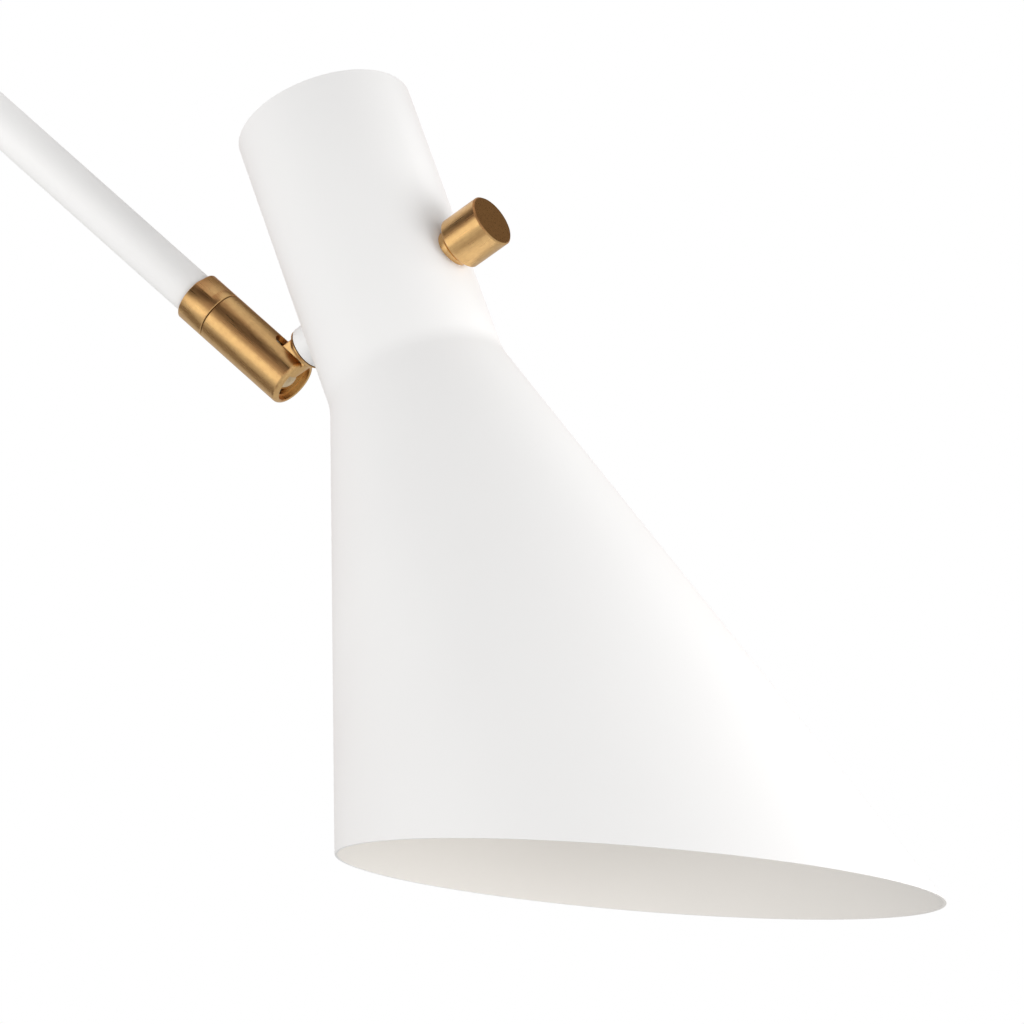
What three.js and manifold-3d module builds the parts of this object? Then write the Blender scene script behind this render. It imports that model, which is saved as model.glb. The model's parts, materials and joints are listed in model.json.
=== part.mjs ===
// Adjustable arm floor lamp: weighted foot, pole, counterweighted arm on a clamped pivot,
// and an oblique cone shade on a slotted ball knuckle. Millimetres, +Z up.
// Origin: centre of the foot's underside. At rest the arm points along +X and droops.
import * as THREE from 'three';
import { mergeVertices } from 'three/addons/utils/BufferGeometryUtils.js';
import Module from 'manifold-3d';

const wasm = await Module();
wasm.setup();

// ---- driving dimensions -------------------------------------------------------------

const GAP = 0.3; // clearance between neighbouring pieces
const OVERSHOOT = 5; // of a cutting tool past the face it starts from
const BITE = 0.5; // lap of two shapes that become one
const GRUB_R = 2; // grub screws in the clamp and the counterweight
const GRUB_HOLE_R = GRUB_R + GAP;
const GRUB_SUNK = 0.5; // their heads below the surface
const SET_SCREW_R = 1.2; // the knob's set screw
const RAD = Math.PI / 180;

// rest pose, in degrees
const ARM_DROOP = 42.15; // arm below the horizontal
const BARREL_TURN = 16.73; // barrel about the arm
const STEM_LEAN = 20.94; // stem from square to the barrel, towards its open end
const HEAD_TURN = -17.38; // head about the stem

// foot
const FOOT_R = 145;
const FOOT_H = 24;
const COVER_WALL = 1.5;
const COVER_EDGE_R = 5; // outer rounding of the cover's shoulder
const COVER_LIFT = 1.2; // cover's hem above the floor
const PAD_H = 3;
const PAD_R = 138;
const WEIGHT_R = 142;
const NUT_RECESS_R = 17;
const NUT_RECESS_TOP = 14;
const BASE_WASHER_R = 14;
const LEAD_SLOT_W = 9; // channel for the lead across the weight's underside
const GLAND_Z = 9;
const GLAND_R = 6;
const GLAND_NECK_R = 4;
const GLAND_BORE_R = 3;
const GLAND_LIP = 3; // outside the cover
const GLAND_REACH = 7; // inside it

// hollow threaded rod and its holes, the same size all through the lamp
const ROD_R = 4.8;
const ROD_HOLE_R = ROD_R + GAP;
const ROD_BORE_R = 3;
const NUT_R = 8.5; // across corners, halved
const NUT_H = 5;
const SPINDLE_NUT_R = 8;
const TIE_ROD_LOW = 6.5;
const TIE_ROD_HIGH = 60;

// pole
const POLE_R = 9.5;
const POLE_WALL = 1.5;
const POLE_SOCKET_R = POLE_R + GAP;
const FOOT_COLLAR_R = 19;
const FOOT_COLLAR_TOP_R = 13;
const FOOT_COLLAR_H = 24;
const COLLAR_SKIRT = 4; // straight part below the foot collar's taper
const COLLAR_TAPER = 9; // height where the taper ends
const POLE_PLUG_H = 18;
const COLLAR_FLOOR = 5;
const COUPLER_Z = 800;
const COUPLER_R = 11.5;
const COUPLER_H = 30;
const COUPLER_WEB = 6;

// arm pivot
const PIVOT_Z = 1600;
const SWIVEL_R = 12;
const SWIVEL_LOW = PIVOT_Z - 42; // underside of the turning head
const SWIVEL_HIGH = PIVOT_Z + 22;
const SWIVEL_FLOOR = 12;
const SWIVEL_BORE_R = 9;
const SOCKET_H = 28;
const SOCKET_WEB = 8;
const WASHER_H = 1.5;
const HUB_R = 11; // cross hub that the arm clamps against
const HUB_REACH = 16; // half its length
const BOLT_R = 4;
const BOLT_HOLE_R = BOLT_R + GAP;
const ARM_Y = -34; // the arm runs beside the pole
const CLAMP_SLEEVE_R = 11.5;
const CLAMP_LENGTH = 42;
const CLAMP_WEB = 2.2; // between the tube and the pivot bolt
const CLAMP_SCREW_X = 12;
const CLAMP_KNOB_R = 11;
const CLAMP_KNOB_BORE = 11; // depth of its threaded hole
const CLAMP_KNOB_H = 22;

// arm, measured along it from the pivot
const ARM_R = 8;
const ARM_WALL = 1.2;
const ARM_SOCKET_R = ARM_R + GAP;
const BALL_AT = 700;
const ARM_REAR = -250;
const WEIGHT_CYL_R = 24;
const WEIGHT_CYL_L = 70;
const WEIGHT_OVERHANG = 8; // counterweight's end wall behind the tube
const WEIGHT_BEVEL = 2;
const WEIGHT_SCREW_IN = 12; // its screw, from its front face
const ARM_PLUG_L = 14;

// knuckle
const BARREL_R = 9.6;
const BARREL_BORE_R = 7.7;
const BARREL_LENGTH = 38.7;
const BARREL_PAST_BALL = 8.4;
const BARREL_FLOOR = 4.4;
const BARREL_ROUND = 2; // rounding of the open end
const LIP_R = 6.5; // inner lip that holds the ball
const LIP_BACK = 4.8; // its three edges, from the open end
const LIP_EDGE = 3.9;
const LIP_FRONT = 2.2;
const MOUTH_R = 7.6; // counterbore in front of the lip
const SLOT_HALF = 3.5;
const SLOT_BACK = 3.9; // centre of the slot's round end, behind the ball
const COLLAR_LENGTH = 11.7;
const COLLAR_WEB = 2.2;
const FLAT_DEPTH = 0.85; // two wrench flats on the collar
const FLAT_LENGTH = 8.2;
const FLAT_TURN = 40.4; // first flat about the arm, degrees from its upper side
const NIPPLE_R = 4;
const NIPPLE_HOLE_R = NIPPLE_R + GAP;
const NIPPLE_BORE_R = 2.8;
const NIPPLE_IN_PLUG = 12;
const NIPPLE_NUT_R = 6.8;
const NIPPLE_NUT_H = 4;
const BALL_R = 7.3;
const STEM_R = 6; // ball's stem, across the tilt plane
const STEM_HALF = 3.2; // half its thickness between its flats, in the slot
const STUD_BORE_R = 2.2;
const SEAT_R = BARREL_BORE_R - GAP;
const FLANGE_R = 7.75;
const FLANGE_THROAT_R = 6.3;
const FLANGE_FACE = 13.9; // its face, from the ball's centre
const FLANGE_H = 2.1;
const FLANGE_RIM = 0.4;
const SEAT_LOW = -13.5; // nylon seat behind the ball
const SPRING_LOW = -20.2;
const SPRING_WALL = 1;
const SPRING_SLACK = 0.2;
const SEAT_BORE_ANGLE = -76; // the seat's cup, in degrees on the ball
const SEAT_RIM_ANGLE = -57;
const THREAD_LAP = 0.05; // of the stud's thread into its stem
const STUD_PROUD = 0.9; // thread past the boss nut

// head, in the shade's own frame: axis on Z, knuckle at z = 0
const NECK_R = 32;
const SHEET = 1.2;
const NECK_ABOVE = 74; // neck's rim above the knuckle
const NECK_BELOW = 37.9; // start of the cone below it
const CONE_ANGLE = 16.53; // half-angle, degrees
const MOUTH_TILT = 29.58; // mouth plane, degrees from square
const MOUTH_AXIS = 200.95; // along the axis, from the neck's end to the mouth plane
const BEND_R = 28; // soft bend from neck to cone
const CONE_BLANK = 300; // cone's length before its oblique cut
const NECK_TOOL = 20; // half the height of a tool with the neck's shape
const BALL_TO_AXIS = 52.4; // ball's centre to the shade's axis
const BOSS_R = 8;
const BACKING_R = 9;
const BACKING_FLAT = 27; // backing's flat, from the shade's axis
const BRACKET_T = 1.5;
const BRACKET_W = 12;
const BRACKET_TOP = 22;
const VENT_CAP_DROP = 4.5;
const VENT_CAP_T = 1.5;
const VENT_COUNT = 6;
const VENT_R = 3;
const VENT_RING_R = 18;

const HOLDER_R = 17;
const HOLDER_TOP = 14;
const HOLDER_LOW = -44;
const HOLDER_WALL = 1.4;
const HOLDER_CAP_BEVEL = 5;
const LOCK_NUT_H = 4;
const CORE_R = 15.3;
const CORE_BORE_R = 2;
const CONTACT_R = 3.5;
const CORE_LOW = -12;
const BULB_TIP = -125;
const BULB_R = 30;
const BULB_CAP_R = 12.8;
const BULB_CAP_LOW = -41;
const BULB_CAP_TAPER = 6;
const BULB_TIP_R = 4; // cap's end contact
const BULB_NECK_R = 14.5; // glass where it leaves the sphere's shoulder
const BULB_NECK_Z = 32; // above the sphere's centre
const BULB_ARC_END = 40; // where the sphere ends, degrees above its middle
const BULB_STEPS = 5;
const GLASS_WALL = 1;

const SWITCH_SHAFT_R = 2.5;
const SWITCH_HOLE_R = SWITCH_SHAFT_R + GAP;
const SHAFT_START = 9; // inside the switch, from the shade's axis
const SWITCH_DROP = 1.3; // switch below the knuckle
const BUSHING_R = 6.9;
const BUSHING_NECK_R = 4.7;
const BUSHING_COLLAR_R = 5.8;
const BUSHING_STEP = NECK_R + 1.7;
const BUSHING_FACE = NECK_R + 2.7;
const KNOB_R = 9.75;
const KNOB_LENGTH = 15.9;
const KNOB_BEVEL = 0.6;
const KNOB_WALL = 5; // in front of its bore

const FINE = 60; // facets round the shade
const ROUND_FOOT = 48; // facets round the foot
const ROUND = 24; // facets round tubes and turned pieces
const COARSE = 16; // facets round small hidden pieces

// ---- finishes -----------------------------------------------------------------------

const finish = (color, roughness, metalness) => ({ color, roughness, metalness });
const WHITE = finish(0xf1f0ee, 0.45, 0);
const BRASS = finish(0xa97b43, 0.32, 1);
const STEEL = finish(0x9a9c9e, 0.35, 1);
const IRON = finish(0x3a3a3b, 0.7, 0.8);
const RUBBER = finish(0x1c1c1d, 0.9, 0);
const NYLON = finish(0xe4e0d4, 0.6, 0);
const PHENOLIC = finish(0x201e1c, 0.4, 0);
const GLASS = finish(0xf7f5ee, 0.25, 0);

// ---- building blocks ----------------------------------------------------------------

// A turned solid: the outline is [radius, height] pairs, up the outside and down the inside.
function turned(outline, facets = ROUND) {
  const points = outline.map(([r, z]) => new THREE.Vector2(r, z));
  const onAxis = outline[0][0] === 0 && outline.at(-1)[0] === 0;
  if (!onAxis) points.push(points[0].clone());
  return new THREE.LatheGeometry(points, facets).rotateX(Math.PI / 2);
}

// A turned ring or tube of plain section.
function ring(inner, outer, low, high, facets = ROUND) {
  return turned([[inner, low], [outer, low], [outer, high], [inner, high]], facets);
}

// A solid cylinder of plain section.
function rod(radius, low, high, facets = ROUND) {
  return turned([[0, low], [radius, low], [radius, high], [0, high]], facets);
}

function box(sizeX, sizeY, sizeZ, x = 0, y = 0, z = 0) {
  return new THREE.BoxGeometry(sizeX, sizeY, sizeZ).translate(x, y, z);
}

// Points on an arc of an outline, from one angle to another, in degrees.
function arc(centreR, centreZ, radius, from, to, steps) {
  return Array.from({ length: steps + 1 }, (_, i) => {
    const angle = (from + ((to - from) * i) / steps) * RAD;
    return [centreR + radius * Math.cos(angle), centreZ + radius * Math.sin(angle)];
  });
}

const alongX = (geometry) => geometry.rotateY(Math.PI / 2); // +Z becomes +X
const alongY = (geometry) => geometry.rotateX(-Math.PI / 2); // +Z becomes +Y

function toSolid(geometry) {
  const bare = geometry.clone();
  bare.deleteAttribute('normal');
  bare.deleteAttribute('uv');
  const merged = mergeVertices(bare, 1e-4);
  const index = merged.index.array;
  const triVerts = [];
  for (let i = 0; i < index.length; i += 3) {
    const [a, b, c] = index.slice(i, i + 3);
    if (a !== b && b !== c && c !== a) triVerts.push(a, b, c);
  }
  return new wasm.Manifold(new wasm.Mesh({
    numProp: 3,
    vertProperties: new Float32Array(merged.attributes.position.array),
    triVerts: new Uint32Array(triVerts),
  }));
}

function toGeometry(solid) {
  const mesh = solid.getMesh();
  const geometry = new THREE.BufferGeometry();
  geometry.setAttribute('position', new THREE.BufferAttribute(mesh.vertProperties, 3));
  geometry.setIndex(new THREE.BufferAttribute(mesh.triVerts, 1));
  return geometry;
}

// base, joined with the pieces in joins, less the pieces in cuts
function cut(base, cuts, joins = []) {
  let solid = toSolid(base);
  for (const join of joins) solid = solid.add(toSolid(join));
  for (const tool of cuts) solid = solid.subtract(toSolid(tool));
  return toGeometry(solid);
}

function piece(parent, name, geometry, look) {
  const mesh = new THREE.Mesh(geometry, new THREE.MeshStandardMaterial(look));
  mesh.name = name;
  parent.add(mesh);
}

function nut(low, high, hole, across = NUT_R) {
  return cut(rod(across, low, high, 6), [rod(hole, low - 1, high + 1, COARSE)]);
}

// ---- foot ---------------------------------------------------------------------------

function addFoot(group) {
  piece(group, 'base_pad', rod(PAD_R, 0, PAD_H, ROUND_FOOT), RUBBER);

  const weightLow = PAD_H + GAP;
  const weightHigh = FOOT_H - COVER_WALL - GAP;
  const weight = turned([
    [ROD_HOLE_R, NUT_RECESS_TOP], [NUT_RECESS_R, NUT_RECESS_TOP], [NUT_RECESS_R, weightLow],
    [WEIGHT_R, weightLow], [WEIGHT_R, weightHigh - COVER_EDGE_R],
    [WEIGHT_R - COVER_EDGE_R, weightHigh], [ROD_HOLE_R, weightHigh],
  ], ROUND_FOOT);
  const slotHigh = GLAND_Z + GLAND_NECK_R + GAP;
  const leadSlot = box(FOOT_R, LEAD_SLOT_W, slotHigh, -FOOT_R / 2 - 8, 0, slotHigh / 2);
  piece(group, 'base_weight', cut(weight, [leadSlot]), IRON);

  const inner = FOOT_R - COVER_WALL;
  const shoulder = FOOT_H - COVER_EDGE_R;
  const cover = turned([
    [inner, COVER_LIFT], [FOOT_R, COVER_LIFT],
    ...arc(FOOT_R - COVER_EDGE_R, shoulder, COVER_EDGE_R, 0, 90, 3),
    [ROD_HOLE_R, FOOT_H], [ROD_HOLE_R, FOOT_H - COVER_WALL],
    ...arc(FOOT_R - COVER_EDGE_R, shoulder, COVER_EDGE_R - COVER_WALL, 90, 0, 1),
  ], ROUND_FOOT);
  const inlet = alongX(rod(GLAND_NECK_R + GAP, -FOOT_R - OVERSHOOT, -FOOT_R + GLAND_REACH + 1, COARSE));
  piece(group, 'base_cover', cut(cover, [inlet.translate(0, 0, GLAND_Z)]), WHITE);

  const glandFace = FOOT_R + GAP;
  const gland = turned([
    [GLAND_BORE_R, -glandFace - GLAND_LIP], [GLAND_R - 1, -glandFace - GLAND_LIP],
    [GLAND_R, -glandFace - GLAND_LIP + 1], [GLAND_R, -glandFace], [GLAND_NECK_R, -glandFace],
    [GLAND_NECK_R, -glandFace + GLAND_REACH], [GLAND_BORE_R, -glandFace + GLAND_REACH],
  ], COARSE);
  piece(group, 'cord_gland', alongX(gland).translate(0, 0, GLAND_Z), RUBBER);

  const washerLow = NUT_RECESS_TOP - GAP - WASHER_H;
  piece(group, 'base_washer',
    ring(ROD_HOLE_R, BASE_WASHER_R, washerLow, NUT_RECESS_TOP - GAP, COARSE), STEEL);
  piece(group, 'base_nut', nut(washerLow - GAP - NUT_H, washerLow - GAP, ROD_HOLE_R), STEEL);
  piece(group, 'tie_rod', ring(ROD_BORE_R, ROD_R, TIE_ROD_LOW, TIE_ROD_HIGH, COARSE), STEEL);
}

// ---- pole ---------------------------------------------------------------------------

function addPole(group) {
  const collarLow = FOOT_H + GAP;
  const collarFloor = collarLow + COLLAR_FLOOR;
  const collarHigh = collarLow + FOOT_COLLAR_H;
  piece(group, 'pole_foot', turned([
    [ROD_HOLE_R, collarLow], [FOOT_COLLAR_R, collarLow], [FOOT_COLLAR_R, collarLow + COLLAR_SKIRT],
    [FOOT_COLLAR_TOP_R, collarLow + COLLAR_TAPER], [FOOT_COLLAR_TOP_R, collarHigh],
    [POLE_SOCKET_R, collarHigh], [POLE_SOCKET_R, collarFloor], [ROD_HOLE_R, collarFloor],
  ]), BRASS);

  const lowerLow = collarFloor + GAP;
  const poleBore = POLE_R - POLE_WALL;
  const plugLow = lowerLow + 1;
  piece(group, 'pole_plug',
    ring(ROD_HOLE_R, poleBore - GAP, plugLow, plugLow + POLE_PLUG_H, COARSE), STEEL);

  const webLow = COUPLER_Z - COUPLER_WEB / 2;
  const webHigh = COUPLER_Z + COUPLER_WEB / 2;
  piece(group, 'lower_pole', ring(poleBore, POLE_R, lowerLow, webLow - GAP), WHITE);
  piece(group, 'pole_coupler', turned([
    [POLE_SOCKET_R, COUPLER_Z - COUPLER_H / 2], [COUPLER_R, COUPLER_Z - COUPLER_H / 2],
    [COUPLER_R, COUPLER_Z + COUPLER_H / 2], [POLE_SOCKET_R, COUPLER_Z + COUPLER_H / 2],
    [POLE_SOCKET_R, webHigh], [ROD_HOLE_R, webHigh], [ROD_HOLE_R, webLow], [POLE_SOCKET_R, webLow],
  ]), BRASS);

  const socketHigh = SWIVEL_LOW - WASHER_H - 2 * GAP;
  const socketWeb = socketHigh - SOCKET_WEB;
  const spindleHigh = SWIVEL_LOW + SWIVEL_FLOOR + GAP + NUT_H + 2;
  piece(group, 'upper_pole', ring(poleBore, POLE_R, webHigh + GAP, socketWeb - GAP), WHITE);
  piece(group, 'pole_top_socket', turned([
    [POLE_SOCKET_R, socketHigh - SOCKET_H], [SWIVEL_R, socketHigh - SOCKET_H],
    [SWIVEL_R, socketHigh], [ROD_R, socketHigh], [ROD_R, spindleHigh],
    [ROD_BORE_R, spindleHigh], [ROD_BORE_R, socketWeb], [POLE_SOCKET_R, socketWeb],
  ]), BRASS);
  const nutLow = SWIVEL_LOW + SWIVEL_FLOOR + GAP;
  piece(group, 'spindle_nut', nut(nutLow, nutLow + NUT_H, ROD_HOLE_R, SPINDLE_NUT_R), STEEL);
}

// ---- arm pivot ----------------------------------------------------------------------

function addSwivel(group) {
  const washerHigh = SWIVEL_LOW - GAP;
  piece(group, 'swivel_washer',
    ring(ROD_HOLE_R, SWIVEL_R - 0.5, washerHigh - WASHER_H, washerHigh, COARSE), NYLON);

  const floorTop = SWIVEL_LOW + SWIVEL_FLOOR;
  const shell = turned([
    [0, SWIVEL_LOW], [SWIVEL_R, SWIVEL_LOW], [SWIVEL_R, SWIVEL_HIGH], [0, SWIVEL_HIGH],
  ]);
  const hub = alongY(rod(HUB_R, -HUB_REACH, HUB_REACH)).translate(0, 0, PIVOT_Z);
  const spindleHole = rod(ROD_HOLE_R, SWIVEL_LOW - 1, floorTop + 1, COARSE);
  const hollow = rod(SWIVEL_BORE_R, floorTop, SWIVEL_HIGH + 1);
  const boltHole = alongY(rod(BOLT_HOLE_R, -HUB_REACH - 1, HUB_REACH + 1, COARSE));
  const head = cut(shell, [spindleHole, hollow, boltHole.translate(0, 0, PIVOT_Z)], [hub]);
  piece(group, 'swivel_head', head, BRASS);

  const capLow = SWIVEL_HIGH + GAP;
  const plugR = SWIVEL_BORE_R - GAP;
  piece(group, 'swivel_cap', turned([
    [0, SWIVEL_HIGH - 5], [plugR, SWIVEL_HIGH - 5], [plugR, capLow], [SWIVEL_R, capLow],
    [SWIVEL_R, capLow + 2], [SWIVEL_R - 2, capLow + 4], [0, capLow + 4],
  ]), BRASS);
}

// Arm frame: origin on the pivot axis, +X along the arm's tube to the head.
function addClamp(group) {
  const face = -ARM_Y - HUB_REACH; // hub's end, from the tube's axis
  const washerFar = face - GAP;
  const washerNear = washerFar - WASHER_H;
  const blockFace = washerNear - GAP;
  piece(group, 'friction_washer',
    alongY(ring(BOLT_HOLE_R, HUB_R - 0.5, washerNear, washerFar, COARSE)), NYLON);

  const sleeve = alongX(rod(CLAMP_SLEEVE_R, -CLAMP_LENGTH / 2, CLAMP_LENGTH / 2));
  const boltEnd = ARM_SOCKET_R + CLAMP_WEB;
  piece(group, 'arm_clamp', cut(sleeve, [
    alongX(rod(ARM_SOCKET_R, -CLAMP_LENGTH, CLAMP_LENGTH)),
    alongY(rod(BOLT_HOLE_R, boltEnd, blockFace + 1, COARSE)),
    alongY(rod(GRUB_HOLE_R, -CLAMP_SLEEVE_R - 1, -ARM_R, COARSE)).translate(CLAMP_SCREW_X, 0, 0),
  ], [alongY(rod(HUB_R, ARM_SOCKET_R + BITE, blockFace))]), BRASS);
  const clampScrew = alongY(rod(GRUB_R, -CLAMP_SLEEVE_R + GRUB_SUNK, -ARM_SOCKET_R, COARSE));
  piece(group, 'clamp_screw', clampScrew.translate(CLAMP_SCREW_X, 0, 0), STEEL);

  const boltHigh = -ARM_Y + HUB_REACH + CLAMP_KNOB_BORE - 1 + GAP;
  piece(group, 'pivot_bolt', alongY(rod(BOLT_R, boltEnd + GAP, boltHigh, COARSE)), STEEL);
}

function clampKnob() {
  const low = -ARM_Y + HUB_REACH + GAP;
  const high = low + CLAMP_KNOB_H;
  return alongY(turned([
    [BOLT_HOLE_R, low], [CLAMP_KNOB_R, low], [CLAMP_KNOB_R, high - 1], [CLAMP_KNOB_R - 1, high],
    [0, high], [0, low + CLAMP_KNOB_BORE], [BOLT_HOLE_R, low + CLAMP_KNOB_BORE],
  ]));
}

// ---- arm ----------------------------------------------------------------------------

const BARREL_HIGH = BALL_AT + BARREL_PAST_BALL;
const BARREL_LOW = BARREL_HIGH - BARREL_LENGTH;
const COLLAR_HIGH = BARREL_LOW - GAP;
const COLLAR_LOW = COLLAR_HIGH - COLLAR_LENGTH;
const TUBE_END = COLLAR_HIGH - COLLAR_WEB - GAP;

function addArm(group) {
  const bore = ARM_R - ARM_WALL;
  piece(group, 'arm_tube', alongX(ring(bore, ARM_R, ARM_REAR, TUBE_END)), WHITE);

  const rear = ARM_REAR - WEIGHT_OVERHANG;
  const front = rear + WEIGHT_CYL_L;
  const weight = alongX(turned([
    [0, rear], [WEIGHT_CYL_R - WEIGHT_BEVEL, rear], [WEIGHT_CYL_R, rear + WEIGHT_BEVEL],
    [WEIGHT_CYL_R, front - WEIGHT_BEVEL], [WEIGHT_CYL_R - WEIGHT_BEVEL, front],
    [ARM_SOCKET_R, front], [ARM_SOCKET_R, ARM_REAR - GAP], [0, ARM_REAR - GAP],
  ]));
  const screwX = front - WEIGHT_SCREW_IN;
  const screwHole = rod(GRUB_HOLE_R, -WEIGHT_CYL_R - 1, -ARM_R, COARSE).translate(screwX, 0, 0);
  piece(group, 'counterweight', cut(weight, [screwHole]), BRASS);
  piece(group, 'counterweight_screw',
    rod(GRUB_R, -WEIGHT_CYL_R + GRUB_SUNK, -ARM_SOCKET_R, COARSE).translate(screwX, 0, 0), STEEL);

  const plugHigh = TUBE_END - 1;
  piece(group, 'arm_plug',
    alongX(ring(NIPPLE_HOLE_R, bore - GAP, plugHigh - ARM_PLUG_L, plugHigh, COARSE)), STEEL);
  const nutLow = BARREL_LOW + BARREL_FLOOR + GAP;
  const nutHigh = nutLow + NIPPLE_NUT_H;
  piece(group, 'swivel_nipple',
    alongX(ring(NIPPLE_BORE_R, NIPPLE_R, plugHigh - NIPPLE_IN_PLUG, nutHigh + 2, COARSE)), STEEL);
  piece(group, 'nipple_nut', alongX(nut(nutLow, nutHigh, NIPPLE_HOLE_R, NIPPLE_NUT_R)), STEEL);

  const collar = alongX(turned([
    [ARM_SOCKET_R, COLLAR_LOW], [BARREL_R, COLLAR_LOW], [BARREL_R, COLLAR_HIGH],
    [NIPPLE_HOLE_R, COLLAR_HIGH], [NIPPLE_HOLE_R, COLLAR_HIGH - COLLAR_WEB],
    [ARM_SOCKET_R, COLLAR_HIGH - COLLAR_WEB],
  ]));
  const flatX = COLLAR_LOW + FLAT_LENGTH / 2 - 1;
  const flats = [FLAT_TURN, FLAT_TURN + 180].map((turn) => {
    const block = box(FLAT_LENGTH + 2, 3 * BARREL_R, BARREL_R, flatX, 0, 1.5 * BARREL_R - FLAT_DEPTH);
    return block.rotateX(turn * RAD);
  });
  piece(group, 'arm_collar', cut(collar, flats), BRASS);
}

// ---- knuckle ------------------------------------------------------------------------

// Barrel frame: origin at the ball's centre, +X out of the open end, slot towards +Z.
function addBarrel(group) {
  const low = BARREL_LOW - BALL_AT;
  const high = BARREL_PAST_BALL;
  const floor = low + BARREL_FLOOR;
  const barrel = alongX(turned([
    [NIPPLE_HOLE_R, low], [BARREL_R, low],
    ...arc(BARREL_R - BARREL_ROUND, high - BARREL_ROUND, BARREL_ROUND, 0, 90, 3),
    [MOUTH_R, high - LIP_FRONT], [LIP_R, high - LIP_FRONT], [LIP_R, high - LIP_EDGE],
    [BARREL_BORE_R, high - LIP_BACK], [BARREL_BORE_R, floor], [NIPPLE_HOLE_R, floor],
  ], 32));
  const slotDepth = BARREL_R + 2;
  const slotEnd = rod(SLOT_HALF, 0, slotDepth).translate(-SLOT_BACK, 0, 0);
  const slotSides = box(2 * slotDepth, 2 * SLOT_HALF, slotDepth, slotDepth - SLOT_BACK, 0, slotDepth / 2);
  piece(group, 'swivel_barrel', cut(barrel, [slotEnd, slotSides]), BRASS);

  // The cup's rim stops short of the stem's sweep.
  const cup = arc(0, 0, BALL_R + GAP, SEAT_BORE_ANGLE, SEAT_RIM_ANGLE, 3);
  const [cupRimR, cupRimX] = cup.at(-1);
  piece(group, 'ball_seat', alongX(turned([
    [cup[0][0], SEAT_LOW], [SEAT_R, SEAT_LOW], [SEAT_R, cupRimX], [cupRimR, cupRimX],
    ...cup.reverse().slice(1),
  ], COARSE)), NYLON);
  const springHigh = SEAT_LOW - GAP - SPRING_SLACK;
  const springR = NIPPLE_R + 2 * GAP;
  piece(group, 'seat_spring', alongX(turned([
    [springR, SPRING_LOW], [springR + SPRING_WALL, SPRING_LOW], [SEAT_R, springHigh],
    [SEAT_R - SPRING_WALL, springHigh],
  ], COARSE)), STEEL);
}

// Stud frame: origin at the ball's centre, +Z along the stem to the head.
function addStud(group) {
  const ball = turned(arc(0, 0, BALL_R, -90, 90, 9).map(([r, z], i) => [i % 9 === 0 ? 0 : r, z]));
  const stemTop = FLANGE_FACE - FLANGE_H - GAP;
  const stemSize = 3 * STEM_R;
  const stem = toSolid(rod(STEM_R, 0, stemTop))
    .intersect(toSolid(box(stemSize, 2 * STEM_HALF, stemSize, 0, 0, stemSize / 2)));
  const studEnd = BALL_TO_AXIS - BACKING_FLAT + 2 * GAP + BRACKET_T + NUT_H + STUD_PROUD;
  const thread = rod(ROD_R, stemTop - THREAD_LAP, studEnd);
  piece(group, 'ball_stud', cut(ball, [
    rod(STUD_BORE_R, 0, studEnd + 1, COARSE),
    alongX(rod(STUD_BORE_R, -BALL_R - 1, 1, COARSE)),
  ], [toGeometry(stem), thread]), BRASS);

  const flangeLow = FLANGE_FACE - FLANGE_H;
  piece(group, 'stud_flange', turned([
    [ROD_HOLE_R, flangeLow], [FLANGE_THROAT_R, flangeLow], [FLANGE_THROAT_R + 0.3, flangeLow + 1],
    [FLANGE_R, FLANGE_FACE - FLANGE_RIM], [FLANGE_R, FLANGE_FACE], [ROD_HOLE_R, FLANGE_FACE],
  ]), BRASS);
}

// ---- head ---------------------------------------------------------------------------

// The shade's outline at a distance inside its outer face, from the rim down to below the mouth.
function shadeOutline(inset, low) {
  const slope = Math.tan(CONE_ANGLE * RAD);
  const bendR = BEND_R + inset;
  const tangent = bendR * Math.tan((CONE_ANGLE * RAD) / 2);
  const radius = NECK_R - inset;
  // offsetting both faces moves their corner along the bisector
  const cornerZ = -NECK_BELOW + inset * Math.tan((CONE_ANGLE * RAD) / 2);
  return [
    [radius, NECK_ABOVE],
    ...arc(radius + bendR, cornerZ + tangent, bendR, 180, 180 + CONE_ANGLE, 3),
    [radius + (cornerZ - low) * slope, low],
  ];
}

// A block below the mouth plane, to cut the cone obliquely.
function belowMouth() {
  const side = 900;
  const block = box(side, side, side, 0, 0, -side / 2);
  return block.rotateY(MOUTH_TILT * RAD).translate(0, 0, -NECK_BELOW - MOUTH_AXIS);
}

function addShade(group) {
  const low = -NECK_BELOW - CONE_BLANK;
  const outline = [...shadeOutline(0, low).reverse(), ...shadeOutline(SHEET, low)];
  const sheet = turned(outline, FINE);
  const studHole = alongX(rod(ROD_HOLE_R, -NECK_R - OVERSHOOT, -NECK_R + 2 * OVERSHOOT, COARSE));
  const switchHole = alongX(
    rod(BUSHING_NECK_R + GAP, NECK_R - 2 * OVERSHOOT, NECK_R + OVERSHOOT, COARSE));
  switchHole.translate(0, 0, -SWITCH_DROP);
  piece(group, 'shade', cut(sheet, [belowMouth(), studHole, switchHole]), WHITE);

  const capHigh = NECK_ABOVE - VENT_CAP_DROP;
  const cap = rod(NECK_R - SHEET - GAP, capHigh - VENT_CAP_T, capHigh, 30);
  const vents = Array.from({ length: VENT_COUNT }, (_, i) => {
    const angle = (i / VENT_COUNT) * 2 * Math.PI;
    const hole = rod(VENT_R, capHigh - OVERSHOOT, capHigh + OVERSHOOT, 8);
    return hole.translate(VENT_RING_R * Math.cos(angle), VENT_RING_R * Math.sin(angle), 0);
  });
  piece(group, 'vent_cap', cut(cap, vents), WHITE);
}

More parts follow.
